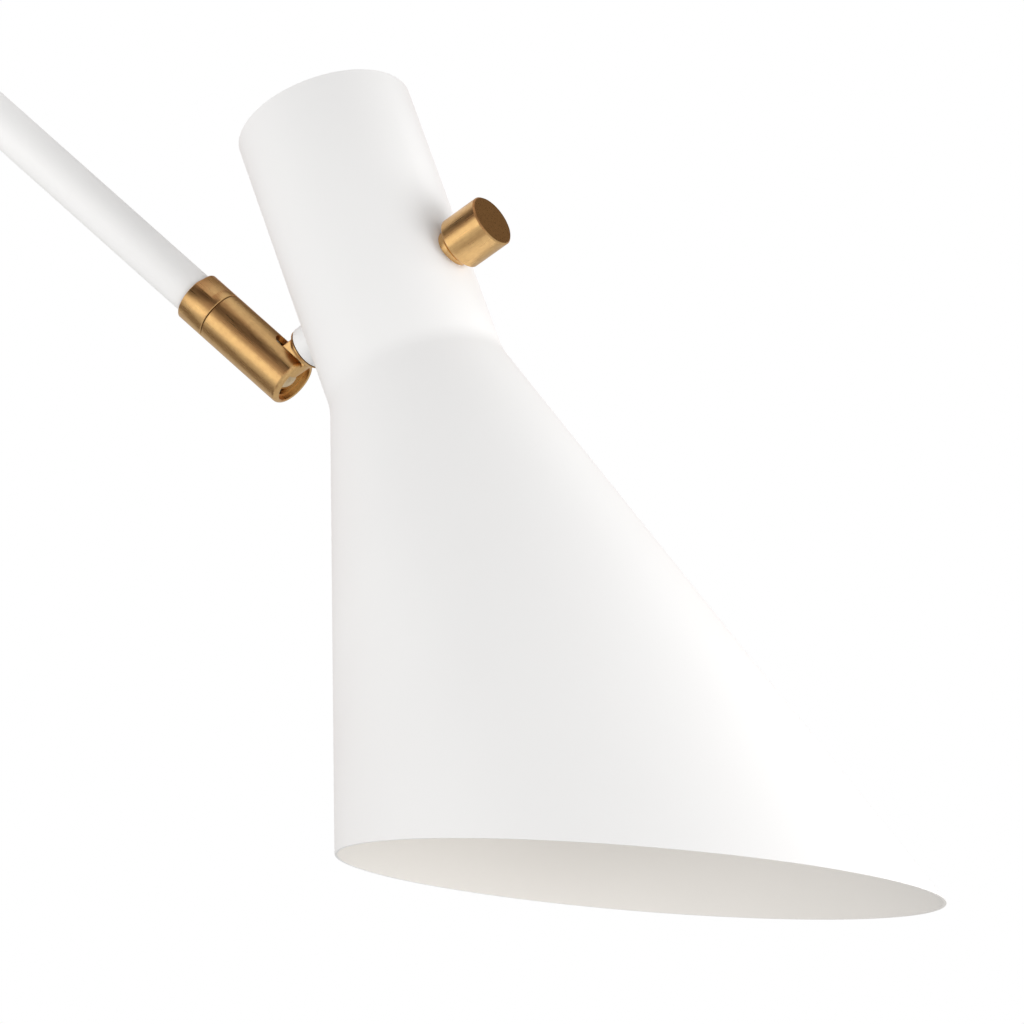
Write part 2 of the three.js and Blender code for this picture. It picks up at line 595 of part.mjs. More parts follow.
function addBoss(group) {
  const neckOuter = rod(NECK_R + GAP, -NECK_TOOL, NECK_TOOL, FINE);
  const bossFace = BALL_TO_AXIS - FLANGE_FACE - GAP;
  const studHole = alongX(rod(ROD_HOLE_R, -bossFace - 1, 0, COARSE));
  const boss = alongX(rod(BOSS_R, -bossFace, -BOSS_R));
  piece(group, 'boss', cut(boss, [neckOuter, studHole]), WHITE);

  const inside = NECK_R - SHEET - GAP;
  const backing = toSolid(alongX(rod(BACKING_R, -NECK_R, -BACKING_FLAT, ROUND)))
    .intersect(toSolid(rod(inside, -NECK_TOOL, NECK_TOOL, FINE)))
    .subtract(toSolid(studHole));
  piece(group, 'boss_backing', toGeometry(backing), STEEL);

  const strapFar = -BACKING_FLAT + GAP;
  const strapNear = strapFar + BRACKET_T;
  const strapLow = -9;
  const upright = box(BRACKET_T, BRACKET_W, BRACKET_TOP - strapLow,
    strapFar + BRACKET_T / 2, 0, (BRACKET_TOP + strapLow) / 2);
  const shelfEnd = 9;
  const shelf = box(shelfEnd - strapFar, BRACKET_W, BRACKET_T,
    (shelfEnd + strapFar) / 2, 0, BRACKET_TOP - BRACKET_T / 2);
  const nippleHole = rod(ROD_HOLE_R, BRACKET_TOP - OVERSHOOT, BRACKET_TOP + OVERSHOOT, COARSE);
  piece(group, 'lampholder_bracket', cut(upright, [studHole, nippleHole], [shelf]), STEEL);

  const nutFar = strapNear + GAP;
  piece(group, 'boss_nut', alongX(nut(nutFar, nutFar + NUT_H, ROD_HOLE_R)), STEEL);
}

function addLampholder(group) {
  const shelfLow = BRACKET_TOP - BRACKET_T;
  const nippleHigh = BRACKET_TOP + LOCK_NUT_H + 2;
  piece(group, 'lampholder_nipple', ring(ROD_BORE_R, ROD_R, HOLDER_TOP + 1, nippleHigh, COARSE), STEEL);
  piece(group, 'nipple_lock_nut',
    nut(BRACKET_TOP + GAP, BRACKET_TOP + GAP + LOCK_NUT_H, ROD_HOLE_R), STEEL);
  piece(group, 'lampholder_cap', turned([
    [ROD_HOLE_R, HOLDER_TOP + GAP], [HOLDER_R, HOLDER_TOP + GAP],
    [HOLDER_R - HOLDER_CAP_BEVEL, shelfLow - GAP],
    [ROD_HOLE_R, shelfLow - GAP],
  ]), PHENOLIC);

  const shell = ring(HOLDER_R - HOLDER_WALL, HOLDER_R, HOLDER_LOW, HOLDER_TOP);
  const shaftHole = alongX(rod(SWITCH_HOLE_R, SHAFT_START - 2, HOLDER_R + 2, COARSE));
  shaftHole.translate(0, 0, -SWITCH_DROP);
  piece(group, 'lampholder_shell', cut(shell, [shaftHole]), PHENOLIC);
  const core = ring(CORE_BORE_R, CORE_R, CORE_LOW, HOLDER_TOP - 1, COARSE);
  piece(group, 'switch_core', cut(core, [shaftHole]), PHENOLIC);
  piece(group, 'centre_contact', rod(CONTACT_R, CORE_LOW - GAP - 1, CORE_LOW - GAP, COARSE), BRASS);
  piece(group, 'screw_shell',
    ring(BULB_CAP_R + GAP, CORE_R - 1, HOLDER_LOW + 2, CORE_LOW - GAP), BRASS);

  const capTop = CORE_LOW - 2 * GAP - 1;
  piece(group, 'bulb_cap', turned([
    [0, BULB_CAP_LOW], [BULB_CAP_R, BULB_CAP_LOW], [BULB_CAP_R, capTop - BULB_CAP_TAPER],
    [BULB_TIP_R, capTop], [0, capTop],
  ], COARSE), STEEL);

  const glassTop = BULB_CAP_LOW - GAP;
  const centre = BULB_TIP + BULB_R;
  const outer = arc(0, centre, BULB_R, -90, BULB_ARC_END, BULB_STEPS);
  const inner = arc(0, centre, BULB_R - GLASS_WALL, -90, BULB_ARC_END, BULB_STEPS);
  outer[0][0] = 0;
  inner[0][0] = 0;
  piece(group, 'bulb_glass', turned([
    ...outer, [BULB_NECK_R, centre + BULB_NECK_Z], [BULB_CAP_R, glassTop],
    [BULB_CAP_R - GLASS_WALL, glassTop],
    [BULB_NECK_R - GLASS_WALL, centre + BULB_NECK_Z - GLASS_WALL / 2], ...inner.reverse(),
  ], 20), GLASS);
}

// Switch frame: +Z out along the switch shaft, origin on the shade's axis.
function addSwitch(group) {
  const neckOuter = alongX(rod(NECK_R + GAP, -NECK_TOOL, NECK_TOOL, FINE));
  const flange = cut(ring(BUSHING_NECK_R - BITE, BUSHING_R, NECK_R - 2, BUSHING_STEP), [neckOuter]);
  const sleeve = turned([
    [SWITCH_HOLE_R, NECK_R - 8], [BUSHING_NECK_R, NECK_R - 8], [BUSHING_NECK_R, BUSHING_STEP - BITE],
    [BUSHING_COLLAR_R, BUSHING_STEP - BITE], [BUSHING_COLLAR_R, BUSHING_FACE],
    [SWITCH_HOLE_R, BUSHING_FACE],
  ]);
  piece(group, 'switch_bushing', cut(sleeve, [], [flange]), BRASS);

  const low = BUSHING_FACE + GAP;
  const high = low + KNOB_LENGTH;
  const boreEnd = high - KNOB_WALL;
  piece(group, 'switch_shaft', rod(SWITCH_SHAFT_R, SHAFT_START, boreEnd - GAP, COARSE), STEEL);
  const knob = turned([
    [SWITCH_HOLE_R, low], [KNOB_R - KNOB_BEVEL, low], [KNOB_R, low + KNOB_BEVEL],
    [KNOB_R, high - KNOB_BEVEL], [KNOB_R - KNOB_BEVEL, high], [0, high], [0, boreEnd],
    [SWITCH_HOLE_R, boreEnd],
  ]);
  const screwAt = low + 5;
  const screwHole = alongX(rod(SET_SCREW_R + GAP, -KNOB_R - 1, -1, COARSE)).translate(0, 0, screwAt);
  piece(group, 'switch_knob', cut(knob, [screwHole]), BRASS);
  piece(group, 'knob_set_screw',
    alongX(rod(SET_SCREW_R, -KNOB_R + 0.5, -SWITCH_HOLE_R, COARSE)).translate(0, 0, screwAt), STEEL);
}

// ---- assembly -----------------------------------------------------------------------

const lamp = new THREE.Group();
addFoot(lamp);
addPole(lamp);

const swivel = new THREE.Group();
addSwivel(swivel);
lamp.add(swivel);

const arm = new THREE.Group();
arm.position.set(0, ARM_Y, PIVOT_Z);
arm.rotation.y = ARM_DROOP * RAD;
addClamp(arm);
addArm(arm);
piece(arm, 'clamp_knob', clampKnob(), BRASS);
lamp.add(arm);

const barrel = new THREE.Group();
barrel.position.x = BALL_AT;
barrel.rotation.x = BARREL_TURN * RAD;
addBarrel(barrel);
arm.add(barrel);

const stud = new THREE.Group();
stud.rotation.y = STEM_LEAN * RAD;
addStud(stud);
barrel.add(stud);

const head = new THREE.Group();
head.rotation.z = HEAD_TURN * RAD;
stud.add(head);

const shade = new THREE.Group();
shade.position.z = BALL_TO_AXIS;
shade.rotation.y = -Math.PI / 2; // shade's +Z up its neck, +X along the stem
addShade(shade);
addBoss(shade);
addLampholder(shade);
head.add(shade);

const switchGroup = new THREE.Group();
switchGroup.position.z = -SWITCH_DROP;
switchGroup.rotation.y = Math.PI / 2;
addSwitch(switchGroup);
shade.add(switchGroup);

export default lamp;
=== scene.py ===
# %% [markdown]
# # An adjustable arm floor lamp
# The lamp stands on a round weighted foot. A slim pole carries a long arm on a clamped pivot, and a slotted brass
# knuckle at the arm's end holds a white cone shade with an oblique mouth. The engineering model fixes every size
# and every joint, so this lesson only dresses it: each visible piece is modelled again with fine edges and gets a
# finish of its own. The first cell loads that model.

# %% Load the engineering model
import json
import math

import bpy
from mathutils import Matrix, Vector


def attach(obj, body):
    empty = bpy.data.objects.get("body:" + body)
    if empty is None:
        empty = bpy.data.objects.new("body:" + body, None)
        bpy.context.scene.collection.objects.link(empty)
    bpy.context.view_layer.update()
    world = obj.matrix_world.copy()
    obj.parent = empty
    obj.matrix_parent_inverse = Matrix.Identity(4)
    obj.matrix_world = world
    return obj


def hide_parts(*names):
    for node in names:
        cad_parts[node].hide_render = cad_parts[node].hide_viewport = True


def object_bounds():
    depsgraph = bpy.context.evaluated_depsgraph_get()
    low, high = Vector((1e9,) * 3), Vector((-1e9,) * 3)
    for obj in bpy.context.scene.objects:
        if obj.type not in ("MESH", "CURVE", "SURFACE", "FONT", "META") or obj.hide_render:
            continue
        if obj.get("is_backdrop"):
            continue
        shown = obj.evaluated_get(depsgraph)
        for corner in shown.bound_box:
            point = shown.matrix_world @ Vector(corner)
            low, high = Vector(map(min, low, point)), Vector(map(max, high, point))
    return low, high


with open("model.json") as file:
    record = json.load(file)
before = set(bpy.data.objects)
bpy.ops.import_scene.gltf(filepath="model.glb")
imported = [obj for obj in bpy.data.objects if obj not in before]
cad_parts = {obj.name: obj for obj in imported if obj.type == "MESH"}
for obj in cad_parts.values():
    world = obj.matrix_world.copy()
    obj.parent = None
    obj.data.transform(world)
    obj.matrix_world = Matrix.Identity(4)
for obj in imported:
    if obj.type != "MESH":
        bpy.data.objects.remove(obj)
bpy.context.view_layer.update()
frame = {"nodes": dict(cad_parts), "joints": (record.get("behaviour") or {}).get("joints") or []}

MM = 0.001
print("pieces in the engineering model:", len(frame["nodes"]))

# %% [markdown]
# Each part of the lamp lies along a line of its own: the pole stands, the arm droops, the shade leans. A turned
# piece is easiest to model upright round +Z and to lay along its line afterwards. So each group of pieces gets a
# place: a matrix whose +Z is the group's line. The joints give the lines, because a hinge knows its point and axis.

# %% Places along the pole, the arm, the knuckle and the shade
joints = {j["name"]: j for j in frame["joints"]}


def place(origin, along, towards):
    """The matrix that sets a piece's +Z along a line, with its +X as near as can be to towards."""
    z_axis = Vector(along).normalized()
    y_axis = z_axis.cross(Vector(towards)).normalized()
    x_axis = y_axis.cross(z_axis)
    turn = Matrix((x_axis, y_axis, z_axis)).transposed()
    return Matrix.Translation(Vector(origin)) @ turn.to_4x4()


def middle(node):
    """The mean of a node's corners, which lies on the axis of a round piece."""
    corners = [v.co for v in frame["nodes"][node].data.vertices]
    return sum(corners, Vector()) / len(corners)


pivot_point = Vector(joints["arm_tilt"]["pos_m"])
ball_point = Vector(joints["head_tilt"]["pos_m"])
arm_line = Vector(joints["barrel_swivel"]["axis"])
hinge_line = Vector(joints["head_tilt"]["axis"])
stem_line = Vector(joints["head_turn"]["axis"])
slot_line = arm_line.cross(hinge_line)

POLE = Matrix.Identity(4)
CROSS = place((0, 0, pivot_point.z), (0, 1, 0), (0, 0, 1))
ARM = place(pivot_point, arm_line, (0, 0, 1))
BARREL = place(ball_point, arm_line, slot_line)

cap_middle = middle("vent_cap")
neck_point = ball_point + stem_line * (cap_middle - ball_point).dot(stem_line)
neck_line = (cap_middle - neck_point).normalized()
STEM = place(ball_point, stem_line, -neck_line)
SHADE = place(neck_point, neck_line, stem_line)
STUD = place(ball_point, stem_line, arm_line)
switch_point = Vector(joints["switch_turn"]["pos_m"])
switch_height = (switch_point - neck_point).dot(neck_line)
SWITCH = place(neck_point + neck_line * switch_height, stem_line, neck_line)
print("arm below the horizontal, degrees:", round(math.degrees(math.asin(-arm_line.z)), 1))
print("shade's neck from upright, degrees:", round(math.degrees(neck_line.angle((0, 0, 1))), 1))

# %% [markdown]
# The camera comes first, because everything after it is judged through it. It stands a few metres off with a long
# lens, a little below the shade and a little to its right, and looks up into the mouth's rim. A long lens keeps
# the cone's sides straight and its proportions true.

# %% The camera
VIEW_AZIMUTH = 18.56  # degrees, round the lamp
VIEW_ELEVATION = -9.4  # degrees, below the level of the shade
VIEW_DISTANCE = 2471.7 * MM
BALL_LEFT_OF_CENTRE = 83.1 * MM
BALL_ABOVE_CENTRE = 50.9 * MM
LENS = 244.0  # mm, on a 36 mm sensor

azimuth, elevation = math.radians(VIEW_AZIMUTH), math.radians(VIEW_ELEVATION)
camera_back = Vector((
    math.sin(azimuth) * math.cos(elevation),
    -math.cos(azimuth) * math.cos(elevation),
    math.sin(elevation),
))
camera_right = Vector((math.cos(azimuth), math.sin(azimuth), 0))
camera_up = camera_back.cross(camera_right)
picture_centre = ball_point + camera_right * BALL_LEFT_OF_CENTRE - camera_up * BALL_ABOVE_CENTRE

camera_data = bpy.data.cameras.new("camera")
camera_data.lens = LENS
camera_data.sensor_width = 36.0
camera = bpy.data.objects.new("camera", camera_data)
bpy.context.collection.objects.link(camera)
camera.location = picture_centre + camera_back * VIEW_DISTANCE
camera.rotation_mode = "QUATERNION"
camera.rotation_quaternion = camera_back.to_track_quat("Z", "Y")
bpy.context.scene.camera = camera
print("camera stands at", [round(x, 2) for x in camera.location])

# %% [markdown]
# A white lamp before white paper is lit almost from everywhere, so that its form shows only as faint greys. The
# world is a dim, even light, and five soft windows round the lamp shade the paint. The brass needs the opposite:
# metal shows what stands round it, so a studio sets cards beside it. The cards here are seen only in reflections,
# and the windows never are, so the cards draw the dark and bright bands along the barrel and the knob. The windows
# leave the floor out. It glows a little instead, which keeps it even, and it is clear when seen from below.

# %% Studio light
PAPER = 1.0
STUDIO_LIGHT = 0.365
REFLECTED_LIGHT = 0.50
WHITE = (1.0, 1.0, 1.0)
DIM_ROOM = (1.0, 0.77, 0.70)
DARK_CARD = (1.0, 0.68, 0.55)
BROWN_CARD = (1.0, 0.74, 0.50)
BRIGHT_CARD = (1.0, 0.97, 0.90)
FLOOR_HALF = 60.0  # metres
CARD_DISTANCE = 1.3  # metres from the knuckle
WINDOW_DISTANCE = 1.6
FLOOR_GLOW = 0.28

scene = bpy.context.scene
scene.view_settings.view_transform = "Standard"
scene.view_settings.look = "None"


def wire(material_tree, start, end):
    material_tree.links.new(start, end)


def make_world():
    """White paper behind the lamp, an even light on it, and a dimmer room in its reflections."""
    world = bpy.data.worlds.new("soft_studio")
    scene.world = world
    world.use_nodes = True
    tree = world.node_tree
    tree.nodes.clear()
    output = tree.nodes.new("ShaderNodeOutputWorld")
    path = tree.nodes.new("ShaderNodeLightPath")
    levels = []
    for color, strength in ((WHITE, STUDIO_LIGHT), (DIM_ROOM, REFLECTED_LIGHT), (WHITE, PAPER)):
        level = tree.nodes.new("ShaderNodeBackground")
        level.inputs["Color"].default_value = (*color, 1)
        level.inputs["Strength"].default_value = strength
        levels.append(level.outputs["Background"])
    even, reflected, paper = levels
    for ray, seen in (("Is Glossy Ray", reflected), ("Is Camera Ray", paper)):
        mix = tree.nodes.new("ShaderNodeMixShader")
        wire(tree, path.outputs[ray], mix.inputs["Fac"])
        wire(tree, even, mix.inputs[1])
        wire(tree, seen, mix.inputs[2])
        even = mix.outputs["Shader"]
    wire(tree, even, output.inputs["Surface"])


def glow_material(name, color, strength):
    material = bpy.data.materials.new(name)
    material.use_nodes = True
    tree = material.node_tree
    tree.nodes.clear()
    output = tree.nodes.new("ShaderNodeOutputMaterial")
    glow = tree.nodes.new("ShaderNodeEmission")
    glow.inputs["Color"].default_value = (*color, 1)
    glow.inputs["Strength"].default_value = strength
    wire(tree, glow.outputs["Emission"], output.inputs["Surface"])
    return material


def stand(right, up, back, distance):
    """A place at that distance from the knuckle, facing it. right, up and back are as the camera sees them."""
    line = (camera_right * right + camera_up * up + camera_back * back).normalized()
    return place(ball_point + line * distance, -line, camera_right)


def card(name, where, width, height, level, color=DARK_CARD):
    """A card that is seen only in reflections, and leaves the paint alone."""
    bpy.ops.mesh.primitive_plane_add(size=1)
    sheet = bpy.context.object
    sheet.name = name
    sheet.matrix_world = where @ Matrix.Diagonal((width, height, 1, 1))
    sheet.data.materials.append(glow_material(name, color, level))
    sheet.visible_camera = False
    sheet.visible_diffuse = False
    sheet.visible_transmission = False
    sheet.visible_shadow = False
    sheet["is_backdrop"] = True


def window(name, where, width, height, power):
    """A large soft light. It lights the paint, and is seen neither by the camera nor in the brass."""
    light = bpy.data.lights.new(name, "AREA")
    light.shape = "RECTANGLE"
    light.size = width
    light.size_y = height
    light.energy = power
    lamp = bpy.data.objects.new(name, light)
    bpy.context.collection.objects.link(lamp)
    lamp.matrix_world = where @ Matrix.Rotation(math.pi, 4, "X")
    lamp.visible_camera = False
    lamp.visible_glossy = False


make_world()
bpy.ops.object.select_all(action="DESELECT")
card("dark_card_above", stand(-0.40, 0.70, 0.60, CARD_DISTANCE), 1.9, 0.66, 0.02)
card("brown_card_behind", stand(0.56, 0.60, -0.52, CARD_DISTANCE), 1.15, 1.1, 0.15, BROWN_CARD)
card("dark_card_left", stand(-0.91, 0.41, -0.06, CARD_DISTANCE), 0.9, 0.6, 0.03)
card("dark_card_low_left", stand(-0.80, -0.52, -0.20, CARD_DISTANCE), 1.1, 0.7, 0.12)
card("brown_card_below", stand(-0.32, -0.84, 0.44, CARD_DISTANCE), 1.2, 0.7, 0.26)
card("bright_card_left", stand(-0.80, 0.0, 0.60, CARD_DISTANCE), 0.9, 0.64, 1.5, BRIGHT_CARD)
window("soft_window_right", stand(0.80, -0.08, 0.50, WINDOW_DISTANCE), 0.9, 0.9, 12.5)
window("soft_window_front", stand(0.30, -0.30, 0.90, WINDOW_DISTANCE), 0.9, 0.9, 6.0)
window("soft_window_behind", stand(0.95, 0.0, -0.20, WINDOW_DISTANCE), 1.2, 1.2, 12.0)
window("soft_window_above", stand(0.10, 1.00, 0.10, WINDOW_DISTANCE), 1.2, 1.2, 5.0)
window("soft_window_left", stand(-0.92, 0.10, 0.30, WINDOW_DISTANCE), 1.4, 1.4, 16.0)

bpy.ops.mesh.primitive_plane_add(size=2 * FLOOR_HALF)
floor = bpy.context.object
floor.name = "pale_floor"
floor_paint = bpy.data.materials.new("pale_floor")
floor_paint.use_nodes = True
floor_tree = floor_paint.node_tree
floor_shader = floor_tree.nodes["Principled BSDF"]
floor_shader.inputs["Base Color"].default_value = (0.86, 0.86, 0.85, 1)
floor_shader.inputs["Roughness"].default_value = 0.8
floor_shader.inputs["Emission Color"].default_value = (1.0, 1.0, 0.99, 1)
floor_shader.inputs["Emission Strength"].default_value = FLOOR_GLOW
under = floor_tree.nodes.new("ShaderNodeNewGeometry")
clear = floor_tree.nodes.new("ShaderNodeBsdfTransparent")
one_sided = floor_tree.nodes.new("ShaderNodeMixShader")
wire(floor_tree, under.outputs["Backfacing"], one_sided.inputs["Fac"])
wire(floor_tree, floor_shader.outputs["BSDF"], one_sided.inputs[1])
wire(floor_tree, clear.outputs["BSDF"], one_sided.inputs[2])
wire(floor_tree, one_sided.outputs["Shader"], floor_tree.nodes["Material Output"].inputs["Surface"])
floor.data.materials.append(floor_paint)
floor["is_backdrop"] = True

unlit = bpy.data.collections.new("not_lit_by_windows")
unlit.objects.link(floor)
unlit.collection_objects[0].light_linking.link_state = "EXCLUDE"
for lamp in [o for o in bpy.data.objects if o.type == "LIGHT"]:
    lamp.light_linking.receiver_collection = unlit

# %% [markdown]
# Powder coat is not a flat colour. Melted powder settles into a faint orange peel about a millimetre across, and
# its gloss wanders a little. One noise texture gives the bump and a slower one moves the roughness. Both read
# Object coordinates, so that the peel stays on the sheet when the lamp moves.

# %% Powder-coated white
PEEL_SCALE = 950.0  # per metre, so one bump is about a millimetre
PEEL_DEPTH = 0.00003  # metres


def blank_material(name, color, roughness, metallic=0.0):
    material = bpy.data.materials.new(name)
    material.use_nodes = True
    shader = material.node_tree.nodes["Principled BSDF"]
    shader.inputs["Base Color"].default_value = (*color, 1)
    shader.inputs["Roughness"].default_value = roughness
    shader.inputs["Metallic"].default_value = metallic
    return material, material.node_tree, shader


def pattern_space(tree, lie=None, stretch=(1, 1, 1)):
    """Object coordinates, turned to lie along a place and stretched: a noise in them has streaks along +Z."""
    source = tree.nodes.new("ShaderNodeTexCoord")
    mapping = tree.nodes.new("ShaderNodeMapping")
    mapping.vector_type = "TEXTURE"
    if lie is not None:
        mapping.inputs["Location"].default_value = lie.to_translation()
        mapping.inputs["Rotation"].default_value = lie.to_euler()
    mapping.inputs["Scale"].default_value = stretch
    wire(tree, source.outputs["Object"], mapping.inputs["Vector"])
    return mapping.outputs["Vector"]


def noise(tree, space, scale, detail=2.0, roughness=0.5):
    node = tree.nodes.new("ShaderNodeTexNoise")
    node.inputs["Scale"].default_value = scale
    node.inputs["Detail"].default_value = detail
    node.inputs["Roughness"].default_value = roughness
    wire(tree, space, node.inputs["Vector"])
    return node.outputs["Fac"]


def between(tree, factor, low, high, factor_low=0.3, factor_high=0.7):
    """A value that runs from low to high as the factor does."""
    node = tree.nodes.new("ShaderNodeMapRange")
    node.inputs["From Min"].default_value = factor_low
    node.inputs["From Max"].default_value = factor_high
    node.inputs["To Min"].default_value = low
    node.inputs["To Max"].default_value = high
    wire(tree, factor, node.inputs["Value"])
    return node.outputs["Result"]


def tint(tree, factor, *stops):
    """A colour ramp of (position, colour) stops."""
    node = tree.nodes.new("ShaderNodeValToRGB")
    ramp = node.color_ramp
    while len(ramp.elements) < len(stops):
        ramp.elements.new(0.5)
    for element, (position, color) in zip(ramp.elements, stops):
        element.position = position
        element.color = (*color, 1)
    wire(tree, factor, node.inputs["Fac"])
    return node.outputs["Color"]


def bump(tree, shader, height, distance, strength=1.0):
    node = tree.nodes.new("ShaderNodeBump")
    node.inputs["Distance"].default_value = distance
    node.inputs["Strength"].default_value = strength
    wire(tree, height, node.inputs["Height"])
    wire(tree, node.outputs["Normal"], shader.inputs["Normal"])


def powder_coat(name, bright, shaded):
    material, tree, shader = blank_material(name, bright, 0.45)
    space = pattern_space(tree)
    slow = noise(tree, space, 14.0, detail=3.0)
    wire(tree, tint(tree, slow, (0.3, shaded), (0.7, bright)), shader.inputs["Base Color"])
    wire(tree, between(tree, slow, 0.40, 0.50), shader.inputs["Roughness"])
    bump(tree, shader, noise(tree, space, PEEL_SCALE, detail=1.5), PEEL_DEPTH, 0.35)
    shader.inputs["Specular IOR Level"].default_value = 0.25
    return material


white_coat = powder_coat("white_powder_coat", (0.86, 0.856, 0.85), (0.85, 0.845, 0.84))
# The inside is painted shade: a darker, warmer white stands in for the shade and warm bounced light inside the cone.
painted_warm_shade_coat = powder_coat("white_with_painted_warm_shade_inside", (0.84, 0.815, 0.78), (0.82, 0.795, 0.76))
print("made", white_coat.name, "and", painted_warm_shade_coat.name)

# %% [markdown]
# The brass is brushed and left to darken a little before it is lacquered. Brushing leaves fine scratches that run
# along each piece, the darkening gathers in small soft spots, and lacquer evens out the gloss. The scratches are a
# noise stretched along the piece's line, which is why this material is made once for each line.

# %% Brushed antique brass
BRASS_BRIGHT = (0.80, 0.52, 0.225)
BRASS_DARK = (0.70, 0.435, 0.19)
BRUSH_ACROSS = 1 / 2600  # metres in one step of the noise, across the scratches
BRUSH_ALONG = 1 / 90


def brushed_brass(name, lie, dull=0.0):
    material, tree, shader = blank_material(name, BRASS_BRIGHT, 0.3, metallic=1.0)
    strokes = noise(tree, pattern_space(tree, lie, (BRUSH_ACROSS, BRUSH_ACROSS, BRUSH_ALONG)), 1.0, detail=3.0)
    spots = noise(tree, pattern_space(tree), 520.0, detail=4.0, roughness=0.6)
    mixed = tree.nodes.new("ShaderNodeMath")
    mixed.operation = "MULTIPLY_ADD"
    wire(tree, strokes, mixed.inputs[0])
    mixed.inputs[1].default_value = 0.45
    half = between(tree, spots, 0.0, 0.55, 0.0, 1.0)
    wire(tree, half, mixed.inputs[2])
    color = tint(tree, mixed.outputs[0], (0.36 + dull, BRASS_DARK), (0.60 + dull, BRASS_BRIGHT))
    wire(tree, color, shader.inputs["Base Color"])
    wire(tree, between(tree, strokes, 0.26, 0.38), shader.inputs["Roughness"])
    bump(tree, shader, strokes, 0.00001, 0.25)
    return material


brass_on_pole = brushed_brass("brass_on_pole", POLE)
brass_on_cross = brushed_brass("brass_on_cross", CROSS)
brass_on_arm = brushed_brass("brass_on_arm", ARM)
brass_on_stem = brushed_brass("brass_on_stem", STEM)
brass_in_holder = brushed_brass("brass_in_holder", SHADE, dull=0.05)
print("brass made for 5 lines")

# %% [markdown]
# The rest of the lamp is hardware that is seen from below, from behind or through a gap: plated steel, cast iron,
# rubber, nylon and the black lampholder. Each is a base colour that a noise moves a little, a roughness that the
# same noise moves, and a bump as deep as the surface is rough. So one helper makes them all, and only the numbers
# differ.

# %% Hardware finishes
def hardware(name, colors, roughness, grain, depth, metallic=0.0, stretch=(1, 1, 1)):
    """A finish whose colour, gloss and bump follow one noise. grain is its steps per metre, depth is in metres."""
    material, tree, shader = blank_material(name, colors[0], roughness[0], metallic)
    grains = noise(tree, pattern_space(tree, None, stretch), grain, detail=4.0, roughness=0.6)
    wire(tree, tint(tree, grains, (0.35, colors[0]), (0.65, colors[1])), shader.inputs["Base Color"])
    wire(tree, between(tree, grains, *roughness), shader.inputs["Roughness"])
    bump(tree, shader, grains, depth, 0.6)
    return material


zinc_steel = hardware("zinc_plated_steel", ((0.50, 0.51, 0.52), (0.62, 0.62, 0.61)), (0.28, 0.42), 700, 0.00002, 1.0)
cast_iron = hardware("dipped_cast_iron", ((0.035, 0.035, 0.037), (0.075, 0.073, 0.07)), (0.6, 0.85), 420, 0.0003, 0.6)
foot_rubber = hardware("moulded_rubber", ((0.022, 0.022, 0.023), (0.04, 0.04, 0.041)), (0.75, 0.95), 900, 0.00008)
natural_nylon = hardware("natural_nylon", ((0.72, 0.69, 0.60), (0.78, 0.75, 0.67)), (0.45, 0.6), 260, 0.00002)
phenolic = hardware("black_phenolic", ((0.02, 0.018, 0.016), (0.045, 0.04, 0.034)), (0.25, 0.4), 340, 0.00001)
bulb_metal = hardware("rolled_bulb_metal", ((0.66, 0.66, 0.64), (0.80, 0.79, 0.76)), (0.22, 0.36), 500, 0.00001, 1.0)
opal_glass = hardware("opal_glass", ((0.93, 0.925, 0.90), (0.89, 0.88, 0.85)), (0.12, 0.2), 60, 0.000005)
opal_glass.node_tree.nodes["Principled BSDF"].inputs["Coat Weight"].default_value = 0.6
print("hardware finishes:", 7)

# %% [markdown]
# Nearly every piece of this lamp comes off a lathe. By hand one would add a circle, then extrude and resize it up
# the outside and back down the inside. The helper below does just that with the same operators: it takes a list of
# radii and heights, in metres, and leaves an object that is laid along its place. A bevel modifier then breaks the
# sharp edges, since a real edge always catches a line of light.

# %% A turned piece, by extruding and resizing a circle
SMALL = 1e-6
SMOOTH_ANGLE = math.radians(38)


def start_clean():
    """Leaves edit mode and deselects everything, because operators act on all that is selected."""
    if bpy.context.object is not None and bpy.context.object.mode != "OBJECT":
        bpy.ops.object.mode_set(mode="OBJECT")
    bpy.ops.object.select_all(action="DESELECT")


def pick(obj):
    start_clean()
    obj.select_set(True)
    bpy.context.view_layer.objects.active = obj


def tidy_mesh():
    """In edit mode: merges doubled corners and turns all faces outwards."""
    bpy.ops.mesh.select_all(action="SELECT")
    bpy.ops.mesh.remove_doubles(threshold=SMALL)
    bpy.ops.mesh.normals_make_consistent(inside=False)


